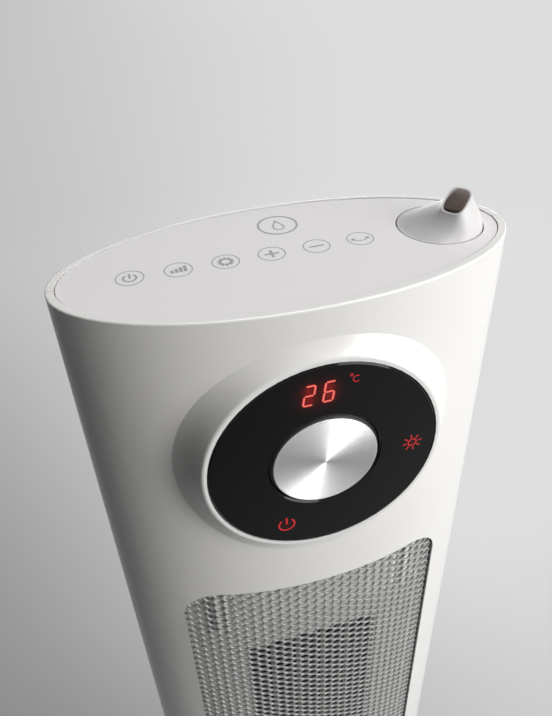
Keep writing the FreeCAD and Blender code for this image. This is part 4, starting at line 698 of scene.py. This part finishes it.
@dataclass
class TouchPanel:
    """Printed touch symbols on the top panel: six rings with signs and a larger ring with a drop."""

    first_x: float = -66.4
    pitch: float = 19.9
    row_y: float = 0.4
    ring: float = 5.75
    line: float = 0.5
    power: PowerSign = PowerSign(radius=2.7, gap=35.0, line=0.9, foot=-0.3, head=3.4, bar_line=0.95)
    level_count: int = 4
    level_foot: Spot = (-2.8, -2.2)
    level_pitch: float = 1.87
    level_height: float = 2.3
    level_growth: float = 0.85
    level_width: float = 1.4
    gear: RayedRing = RayedRing(radius=2.35, line=1.2, count=10, turn=18.0, inner=2.92, outer=3.6, ray_line=1.05)
    plus_half: float = 3.2
    plus_width: float = 1.2
    minus_half: float = 3.3
    minus_width: float = 1.0
    bow_rise: float = 2.2
    bow_radius: float = 4.0
    bow_span: Spot = (205.0, 335.0)
    bow_width: float = 0.6
    bow_barbs: tuple[Spot, Spot] = ((-1.4, -0.1), (0.3, -1.4))
    drop_spot: Spot = (2.9, 25.3)
    drop_ring: float = 8.8
    drop_ring_width: float = 1.0
    drop_ring_around: int = 64
    drop_size: Spot = (3.4, 4.6)
    drop_taper: float = 1.6
    drop_width: float = 0.7
    ink_sink: float = 0.02
    ink_height: float = 0.04

    def key(self, number: int) -> np.ndarray:
        """Middle of a key, counted from the left."""
        return np.array([self.first_x + self.pitch * number, self.row_y])

    def levels(self, spot: np.ndarray) -> list[Stroke]:
        """Bars that grow to the right."""
        feet = [spot + self.level_foot + (self.level_pitch * step, 0.0) for step in range(self.level_count)]
        return [bar(foot, foot + (0.0, self.level_height + self.level_growth * step), self.level_width)
                for step, foot in enumerate(feet)]

    def plus(self, spot: np.ndarray) -> list[Stroke]:
        """A level bar with a shorter one above and below it."""
        level = bar(spot - (self.plus_half, 0.0), spot + (self.plus_half, 0.0), self.plus_width)
        return [level] + [bar(spot + (0.0, self.plus_width / 2.0 * side), spot + (0.0, self.plus_half * side),
                              self.plus_width) for side in (-1.0, 1.0)]

    def minus(self, spot: np.ndarray) -> list[Stroke]:
        """One level bar."""
        return [bar(spot - (self.minus_half, 0.0), spot + (self.minus_half, 0.0), self.minus_width)]

    def swing(self, spot: np.ndarray) -> list[Stroke]:
        """A hanging bow with an arrow head at each end.

        Args:
            spot: The key's middle.

        Returns:
            The sign's bars.
        """
        bow = arc(spot + (0.0, self.bow_rise), self.bow_radius, *self.bow_span)
        marks = [Stroke(bow, self.bow_width)]
        for tip, side in ((bow[-1], 1.0), (bow[0], -1.0)):
            marks += [bar(tip, tip + (across * side, up), self.bow_width) for across, up in self.bow_barbs]
        return marks

    def drop(self, spot: np.ndarray) -> list[Stroke]:
        """A water drop in a ring: x = half width sin t sin(t/2)^taper, y = half height cos t for t round a full turn.

        Args:
            spot: The ring's middle.

        Returns:
            The ring and the drop's outline.
        """
        turn = np.linspace(0.0, 2.0 * math.pi, ROUND + 1)[:-1]
        across = self.drop_size[0] * np.sin(turn) * np.sin(turn / 2.0) ** self.drop_taper
        outline = spot + np.stack([across, self.drop_size[1] * np.cos(turn)], 1)
        return [hoop(spot, self.drop_ring, self.drop_ring_width, self.drop_ring_around),
                Stroke(outline, self.drop_width, True)]

    def build(self) -> None:
        """Prints all symbols as one thin raised piece."""
        _, high = corners("top_panel")
        plate = Plate((0.0, 0.0, high[2]), RIGHT, BACK, UP)
        marks = []
        signs = (self.power.marks, self.levels, self.gear.marks, self.plus, self.minus, self.swing)
        for number, sign in enumerate(signs):
            marks += [hoop(self.key(number), self.ring, self.line)] + sign(self.key(number))
        marks += self.drop(np.array(self.drop_spot))
        draft = Draft()
        draft.strokes(plate, marks, -self.ink_sink, self.ink_height)
        draft.piece("touch_symbols", Body.TOWER.value, INK, "grey_plastic")


class Segment(Enum):
    """The seven bars of a digit, as end points in shares of its half width and half height."""

    TOP = ((-1, 1), (1, 1))
    UPPER_LEFT = ((-1, 0), (-1, 1))
    UPPER_RIGHT = ((1, 0), (1, 1))
    MIDDLE = ((-1, 0), (1, 0))
    LOWER_LEFT = ((-1, -1), (-1, 0))
    LOWER_RIGHT = ((1, -1), (1, 0))
    BOTTOM = ((-1, -1), (1, -1))


TWO = (Segment.TOP, Segment.UPPER_RIGHT, Segment.MIDDLE, Segment.LOWER_LEFT, Segment.BOTTOM)
SIX = (Segment.TOP, Segment.UPPER_LEFT, Segment.MIDDLE, Segment.LOWER_LEFT, Segment.LOWER_RIGHT, Segment.BOTTOM)


@dataclass
class Display:
    """The round lens with its red digits, the degree mark and two symbols, all in its front face.

    The glows are a radius and a share of the full glow.
    """

    digit_half: Spot = (2.05, 4.9)
    digit_places: tuple[Spot, Spot] = ((-7.2, 38.5), (1.25, 38.7))
    digit_glow: Spot = (2.7, 1.0)
    bar_width: float = 1.15
    bar_tip: float = 0.45
    bar_end: float = 0.25
    bar_gap: float = 0.14
    core_share: float = 0.5
    slant: float = 8.0
    unit_spot: Spot = (12.9, 42.4)
    unit_radius: float = 1.55
    unit_span: Spot = (50.0, 310.0)
    unit_width: float = 0.42
    degree_step: Spot = (-2.3, 2.4)
    degree_radius: float = 0.6
    degree_width: float = 0.35
    degree_around: int = 16
    sun_spot: Spot = (40.8, -1.5)
    sun: RayedRing = RayedRing(radius=1.9, line=0.6, count=8, turn=10.0, inner=2.7, outer=4.6, ray_line=0.6,
                               around=24)
    power_spot: Spot = (-18.6, -36.0)
    power: PowerSign = PowerSign(radius=3.7, gap=38.0, line=0.75, foot=0.4, head=4.6, bar_line=0.85)
    sign_glow: Spot = (2.4, 0.25)
    proud: float = 0.03
    sunk: float = 0.02
    middle: np.ndarray = field(init=False)
    plate: Plate = field(init=False)

    def __post_init__(self) -> None:
        """Takes the lens's middle and front face from the frame."""
        low, high = corners("display_lens")
        self.middle = (low + high) / 2.0
        self.plate = Plate((self.middle[0], low[1], self.middle[2]), RIGHT, UP, FRONT)

    def digit(self, place: Spot, segments: Sequence[Segment], share: float = 1.0) -> list[Stroke]:
        """One digit of pointed bars, leaning to the right by the slant.

        Args:
            place: The digit's middle.
            segments: The bars that are lit.
            share: Share of their full width.

        Returns:
            The bars.
        """
        half = np.array(self.digit_half)
        marks = []
        for segment in segments:
            ends = np.array(segment.value) * half
            along = (ends[1] - ends[0]) / np.linalg.norm(ends[1] - ends[0])
            made = bar(ends[0] + along * self.bar_gap, ends[1] - along * self.bar_gap, self.bar_width,
                       self.bar_tip, self.bar_end)
            lean = np.stack([made.path[:, 1] * math.tan(math.radians(self.slant)), 0.0 * made.path[:, 1]], 1)
            marks.append(Stroke(made.path + lean + np.array(place), made.width * share))
        return marks

    def signs(self) -> list[Stroke]:
        """The degree mark, which is a small ring and an open bow, and the two symbols.

        Returns:
            Their bars.
        """
        unit = np.array(self.unit_spot)
        ring = hoop(unit + self.degree_step, self.degree_radius, self.degree_width, self.degree_around)
        bow = Stroke(arc(unit, self.unit_radius, *self.unit_span), self.unit_width)
        return [ring, bow] + self.sun.marks(np.array(self.sun_spot)) + self.power.marks(np.array(self.power_spot))

    def halos(self) -> tuple[Halo, ...]:
        """Glows in the lens: two for each digit, one over the other, and one for each symbol.

        Returns:
            The glows.
        """
        x, _, z = self.middle
        rise = self.digit_half[1] / 2.0
        digits = [Halo(x + place[0], z + place[1] + side * rise, *self.digit_glow)
                  for place in self.digit_places for side in (-1.0, 1.0)]
        signs = [Halo(x + spot[0], z + spot[1], *self.sign_glow) for spot in (self.sun_spot, self.power_spot)]
        return (*digits, *signs)

    def build(self) -> None:
        """Dresses the lens and lays the lights in its face."""
        paint(frame["nodes"]["display_lens"], replace(SMOKED_LENS, halos=self.halos()))
        digits, cores, signs = Draft(), Draft(), Draft()
        for place, segments in zip(self.digit_places, (TWO, SIX)):
            digits.strokes(self.plate, self.digit(place, segments), -self.sunk, self.proud)
            cores.strokes(self.plate, self.digit(place, segments, self.core_share), 0.0, 2.0 * self.proud)
        signs.strokes(self.plate, self.signs(), -self.sunk, self.proud)
        digits.piece("lit_digits", Body.TOWER.value, RED_LAMP, "light_red")
        cores.piece("lit_cores", Body.TOWER.value, CORE_LAMP, "light_red")
        signs.piece("lit_symbols", Body.TOWER.value, DULL_LAMP, "light_red")


@dataclass
class Dial:
    """The spun metal face of the dial: fine turned grooves, which spread the light across them, and a rounded edge."""

    edge: float = 0.35
    edge_steps: int = 7
    groove: float = 0.24
    slope: float = 42.0
    steps: int = 96
    sharp: float = 100.0

    def build(self) -> None:
        """Turns the profile: y = front - a sin(2 pi r / groove) with a slope up to the angle, a round and a back.

        Four points per groove carry the wave: at its crest, its foot and the two crossings between them.
        """
        low, high = corners("dial_cap")
        radius = (high[0] - low[0]) / 2.0
        middle = (low + high) / 2.0
        height = self.groove / 4.0 * math.tan(math.radians(self.slope))
        count = int((radius - self.edge) / self.groove)
        phase = np.arange(4 * count + 1) * math.pi / 2.0
        bend = np.linspace(0.0, math.pi / 2.0, self.edge_steps)
        reach = np.concatenate([phase / (2.0 * math.pi) * self.groove, radius - self.edge * (1.0 - np.sin(bend)),
                                [radius, 0.0]])
        depth = np.concatenate([low[1] + height - height * np.sin(phase),
                                low[1] + height + self.edge * (1.0 - np.cos(bend)), [high[1], high[1]]])
        turn = np.linspace(0.0, 2.0 * math.pi, self.steps + 1)[:-1]
        points = np.stack([middle[0] + np.outer(reach, np.cos(turn)),
                           np.broadcast_to(depth[:, None], (len(depth), self.steps)),
                           middle[2] + np.outer(reach, np.sin(turn))], -1)
        spun = replace(SPUN_METAL, axis=(middle[0], middle[2]))
        draft = Draft()
        draft.add(points, grid_quads(len(reach), self.steps))
        made = draft.piece("spun_dial", Body.DIAL.value, spun, "spun_metal", self.sharp)
        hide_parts("dial_cap")


@dataclass
class Grille:
    """The honeycomb sheet: round holes in staggered columns, their front edges eased, bent along the oval front.

    The reach is the share of its radius by which a cell's middle may lie past the sheet's edge. Sizes that differ by
    less than the slack are equal, and a face smaller than the sliver is dropped.
    """

    pitch: float = 5.7
    hole: float = 2.35
    edge: float = 0.2
    thick: float = 1.0
    margin: float = 0.6
    around: int = 12
    arc_steps: int = 2000
    reach: float = 0.98
    slack: float = 1e-6
    sliver: float = 1e-4
    sharp: float = 60.0
    half_wide: float = field(init=False)
    half_deep: float = field(init=False)
    side_x: float = field(init=False)
    middle_z: float = field(init=False)
    half_tall: float = field(init=False)
    turn: np.ndarray = field(init=False)
    length: np.ndarray = field(init=False)

    def __post_init__(self) -> None:
        """Takes the oval from the frame: the sheet's front, as far inside the housing at its sides."""
        shell = corners("rear_shell")[1]
        low, high = corners("front_grille")
        self.half_deep = -low[1]
        self.half_wide = shell[0] - shell[1] + self.half_deep
        self.side_x = high[0]
        self.middle_z = (low[2] + high[2]) / 2.0
        self.half_tall = (high[2] - low[2]) / 2.0
        self.turn = np.linspace(0.0, math.pi / 2.0, self.arc_steps + 1)
        steps = np.hypot(self.half_wide * np.diff(np.sin(self.turn)), self.half_deep * np.diff(np.cos(self.turn)))
        self.length = np.concatenate([[0.0], np.cumsum(steps)])

    def bend(self, flat: np.ndarray) -> np.ndarray:
        """Bends the sheet: s along the oval's arc, z up, and d inwards along the oval's normal.

        Args:
            flat: Points of the flat sheet as (s, z, d), from its middle.

        Returns:
            Points on the oval.
        """
        turn = np.sign(flat[:, 0]) * np.interp(np.abs(flat[:, 0]), self.length, self.turn)
        x, y = self.half_wide * np.sin(turn), -self.half_deep * np.cos(turn)
        normal = np.stack([x / self.half_wide ** 2, y / self.half_deep ** 2], 1)
        normal /= np.linalg.norm(normal, axis=1, keepdims=True)
        return np.stack([x - normal[:, 0] * flat[:, 2], y - normal[:, 1] * flat[:, 2],
                         self.middle_z + flat[:, 1]], 1)

    def cells(self) -> tuple[np.ndarray, np.ndarray, np.ndarray]:
        """Lays out the honeycomb.

        Returns:
            Middles of all cells, which of them have a hole, and the sheet's half length and half height.
        """
        column = self.pitch * math.sqrt(3.0) / 2.0
        side_length = np.interp(math.asin(min(self.side_x / self.half_wide, 1.0)), self.turn, self.length)
        side = int(round(side_length / column - 0.5))
        half = np.array([(side + 0.5) * column, self.half_tall])
        rows = int(self.half_tall / self.pitch) + 2
        j, i = np.meshgrid(np.arange(-side - 1, side + 2), np.arange(-rows, rows + 1), indexing="ij")
        middles = np.stack([j * column, i * self.pitch + self.pitch / 2.0 * (j % 2)], -1).reshape(-1, 2)
        radius = self.pitch / math.sqrt(3.0)
        middles = middles[(np.abs(middles) < half + radius * self.reach).all(1)]
        room = half - np.array([column / 2.0, self.margin + self.hole])
        return middles, (np.abs(middles) <= room + self.slack).all(1), half

    def sheet(self) -> tuple[np.ndarray, np.ndarray, np.ndarray]:
        """Builds each cell as rings from its hexagon to its hole and through to the back.

        The hexagon's radius at angle a is (pitch / 2) / cos((a mod 60) - 30). Cells over the sheet's edge are
        clipped to it, and a cell without a hole has a hub in its middle instead.

        Returns:
            Points of the flat sheet, quads that leave its rim open, and for each point the one behind it.
        """
        middles, open_, half = self.cells()
        angle = np.arange(self.around) * 2.0 * math.pi / self.around
        radius = self.pitch / 2.0 / np.cos(np.mod(angle, math.pi / 3.0) - math.pi / 6.0)
        way = np.stack([np.cos(angle), np.sin(angle)], 1)
        border = np.clip(middles[:, None] + way[None] * radius[None, :, None], -half, half)
        flat, number = np.unique(np.round(border.reshape(-1, 2), DIGITS), axis=0, return_inverse=True)
        number = number.reshape(border.shape[:2])
        levels = ((self.hole + self.edge, 0.0), (self.hole, self.edge), (self.hole, self.thick))
        rings = np.stack([middles[open_][:, None] + way[None] * reach for reach, _ in levels], 1)
        depth = np.broadcast_to(np.array([d for _, d in levels])[None, :, None, None], rings.shape[:3] + (1,))
        rings = np.concatenate([rings, depth], -1)
        blank = np.clip(middles[~open_], -half, half)
        count, holes, blanks = len(flat), int(open_.sum()), len(blank)
        points = [at_depth(flat, 0.0), at_depth(flat, self.thick), rings.reshape(-1, 3),
                  at_depth(blank, 0.0), at_depth(blank, self.thick)]
        hole_points = len(levels) * self.around
        ring_start = 2 * count + np.arange(holes)[:, None] * hole_points + np.arange(self.around)[None]
        front = number[open_]
        walls = [front, ring_start, ring_start + self.around, ring_start + 2 * self.around, front + count]
        quads = [band(outer, inner) for outer, inner in zip(walls[:-1], walls[1:])]
        hub = 2 * count + holes * hole_points + np.arange(blanks)[:, None]
        hub = np.broadcast_to(hub, (blanks, self.around))
        quads.append(band(number[~open_], hub))
        quads.append(band(hub + blanks, number[~open_] + count))
        opposite = np.arange(hub.max() + 1 + blanks)
        opposite[:count] += count
        opposite[hub[:, 0]] += blanks
        return np.concatenate(points), np.concatenate(quads), opposite

    def rim(self, quads: np.ndarray, opposite: np.ndarray) -> np.ndarray:
        """Finds the sheet's rim.

        Args:
            quads: Quads of the sheet.
            opposite: For each point the one behind it.

        Returns:
            Quads from each free edge of the front to the same edge of the back.
        """
        edges = np.stack([quads, np.roll(quads, -1, 1)], -1).reshape(-1, 2)
        edges = edges[edges[:, 0] != edges[:, 1]]
        _, back, times = np.unique(np.sort(edges, 1), axis=0, return_inverse=True, return_counts=True)
        free = edges[times[back.reshape(-1)] == 1]
        free = free[(opposite[free] != free).all(1)]
        return np.stack([free[:, 1], free[:, 0], opposite[free[:, 0]], opposite[free[:, 1]]], 1)

    def build(self) -> None:
        """Closes the flat sheet's rim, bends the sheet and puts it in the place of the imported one."""
        points, quads, opposite = self.sheet()
        quads = quads[face_areas(points, quads) > self.sliver]
        quads = np.concatenate([quads, self.rim(quads, opposite)])
        draft = Draft()
        draft.add(self.bend(points), quads)
        made = draft.piece("honeycomb_grille", Body.TOWER.value, GRILLE_PAINT, "grille_metal", self.sharp)
        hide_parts("front_grille")


def at_depth(flat: np.ndarray, depth: float) -> np.ndarray:
    """Points of a flat sheet at one depth inside it."""
    return np.column_stack([flat, np.full(len(flat), depth)])


def band(outer: np.ndarray, inner: np.ndarray) -> np.ndarray:
    """Quads between two closed rings of points, for many rings at once."""
    return np.stack([outer, np.roll(outer, -1, 1), np.roll(inner, -1, 1), inner], -1).reshape(-1, 4)


def face_areas(points: np.ndarray, quads: np.ndarray) -> np.ndarray:
    """Area of each quad: half the length of the cross product of its diagonals."""
    p = points[quads]
    return np.linalg.norm(np.cross(p[:, 2] - p[:, 0], p[:, 3] - p[:, 1]), axis=1) / 2.0


@dataclass(frozen=True)
class SoftBox:
    """A soft lamp: a rectangle of a size in metres at a place, aimed at a point, with a power in watts."""

    name: str
    place: Place
    aim: Place
    size: Spot
    power: float

    def hang(self) -> None:
        """Adds the lamp to the scene."""
        data = bpy.data.lights.new(self.name, "AREA")
        data.shape = "RECTANGLE"
        data.size, data.size_y = self.size
        data.energy = self.power
        made = bpy.data.objects.new(self.name, data)
        turned = (Vector(self.aim) - Vector(self.place)).to_track_quat("-Z", "Y").to_matrix().to_4x4()
        made.matrix_world = Matrix.Translation(Vector(self.place)) @ turned
        bpy.context.scene.collection.objects.link(made)


@dataclass
class Studio:
    """Pale floor, soft lights and a camera that looks down on the heater from the front left.

    The floor's tone is a product of three sweeps of painted light and shade: painted shade that darkens it to the
    left, away from the key lamp, a painted shadow of the heater at the front left, and paler behind.
    Each pair of numbers is where a sweep starts and stops.
    """

    place: Place = (-0.07064, -0.24606, 0.7580)
    pitch: float = 37.25
    yaw: float = 14.48
    roll: float = -2.66
    lens: float = 34.19
    clip_start: float = 0.01
    lamps: tuple[SoftBox, ...] = (
        SoftBox("key", place=(1.07, -0.97, 0.92), aim=(0.0, 0.0, 0.5), size=(1.02, 1.75), power=29.6),
        SoftBox("top", place=(0.3, 0.1, 2.2), aim=(0.0, 0.0, 0.6), size=(0.8, 0.8), power=14.5),
        SoftBox("rear", place=(0.7, 1.7, 0.42), aim=(0.0, 0.0, 0.38), size=(1.4, 0.7), power=10.0),
    )
    backdrop: float = 0.68
    fill: float = 0.01
    floor_half: float = 8.0
    floor_colour: Colour = (0.4, 0.4, 0.4)
    pale: float = 0.9
    shown: float = 0.72
    outer: Spot = (0.8, 1.6)
    outer_drop: float = 0.2
    far: Spot = (0.0, 4.0)
    side_drift: float = 0.2
    side_half: float = 0.35
    side_share: float = 0.28
    shade_lean: float = 1.7
    shade: Spot = (-0.9, 0.8)
    shade_reach: Spot = (0.4, 4.0)
    shade_share: float = 0.7
    behind: Spot = (0.0, 0.3)
    behind_share: float = 0.15

    def camera(self) -> None:
        """Camera from its heading, tilt and roll: the roll turns the level right and up about the line of sight."""
        pitch, yaw, roll = (math.radians(angle) for angle in (self.pitch, self.yaw, self.roll))
        ahead = Vector((math.sin(yaw) * math.cos(pitch), math.cos(yaw) * math.cos(pitch), -math.sin(pitch)))
        level = Vector((math.cos(yaw), -math.sin(yaw), 0.0))
        over = level.cross(ahead)
        right = level * math.cos(roll) + over * math.sin(roll)
        up = over * math.cos(roll) - level * math.sin(roll)
        data = bpy.data.cameras.new("camera")
        data.lens = self.lens
        data.clip_start = self.clip_start
        made = bpy.data.objects.new("camera", data)
        turned = Matrix((right, up, -ahead)).transposed().to_4x4()
        made.matrix_world = Matrix.Translation(Vector(self.place)) @ turned
        bpy.context.scene.collection.objects.link(made)
        bpy.context.scene.camera = made

    def floor_material(self) -> bpy.types.Material:
        """Builds the floor's material.

        Returns:
            Matt pale grey, which shows a camera, a gloss or a glass a soft sweep of tone with painted shade and a
            painted shadow, and keeps the real shadow.
        """
        made = bpy.data.materials.new("floor")
        made.use_nodes = True
        recipe = Recipe(made.node_tree)
        x, y, _ = recipe.axes()
        reach = (x ** 2.0 + y ** 2.0) ** 0.5
        outer = recipe.ramp(reach, *self.outer)
        share = recipe.seen() * (outer * (1.0 - self.shown) + self.shown)
        far = recipe.ramp(y, *self.far)
        across = (x - far * self.side_drift) / (far + self.side_half)
        # Painted shade: darker to the left, away from the key lamp on the right.
        side = recipe.ramp(across, -1.0, 1.0) * self.side_share + (1.0 - self.side_share)
        # Painted shadow of the heater on the floor at its front left.
        near = 1.0 - recipe.ramp(reach, *self.shade_reach)
        shade = (1.0 - recipe.ramp(y + x * self.shade_lean, *self.shade)) * near
        away = recipe.ramp(y, *self.behind) * self.behind_share - outer * self.outer_drop + (1.0 - self.behind_share)
        tone = side * (1.0 - shade * self.shade_share) * away * self.pale
        matt = recipe.node("ShaderNodeBsdfDiffuse", sockets={"Color": (*self.floor_colour, 1.0)})
        # The emission is painted light and shade; the matt part keeps the real shadow.
        painted_light_emission = recipe.node("ShaderNodeEmission", sockets={"Color": recipe.blend(tone, BLACK, WHITE)})
        recipe.surface(recipe.node("ShaderNodeMixShader",
                                   sockets={0: share, 1: matt.outputs[0], 2: painted_light_emission.outputs[0]}))
        return made

    def floor(self) -> None:
        """A flat square floor round the heater."""
        half = self.floor_half
        mesh = bpy.data.meshes.new("floor")
        mesh.from_pydata([(-half, -half, 0), (half, -half, 0), (half, half, 0), (-half, half, 0)], [], [(0, 1, 2, 3)])
        mesh.materials.append(self.floor_material())
        floor = bpy.data.objects.new("floor", mesh)
        bpy.context.scene.collection.objects.link(floor)

    def world(self) -> None:
        """Even fill light, and a pale backdrop for what is seen directly, in gloss or through glass."""
        world = bpy.data.worlds.new("studio")
        bpy.context.scene.world = world
        world.use_nodes = True
        recipe = Recipe(world.node_tree)
        strength = recipe.seen() * (self.backdrop - self.fill) + self.fill
        sky = recipe.node("ShaderNodeBackground", sockets={"Color": (*WHITE, 1.0), "Strength": strength})
        recipe.node("ShaderNodeOutputWorld", sockets={"Surface": sky.outputs[0]})

    def build(self) -> None:
        """Sets up floor, world, lights, camera and plain colour output."""
        self.floor()
        self.world()
        for lamp in self.lamps:
            lamp.hang()
        self.camera()
        bpy.context.scene.view_settings.view_transform = "Standard"


def main() -> None:
    """Builds the heater's looks in order, then the studio."""
    logging.basicConfig(level=logging.INFO, format="%(name)s: %(message)s")
    for assembly in (Casing(), Grille(), Display(), Dial(), TouchPanel(), Studio()):
        assembly.build()
        LOG.info("built %s", type(assembly).__name__)


if __name__ == "__main__":
    main()
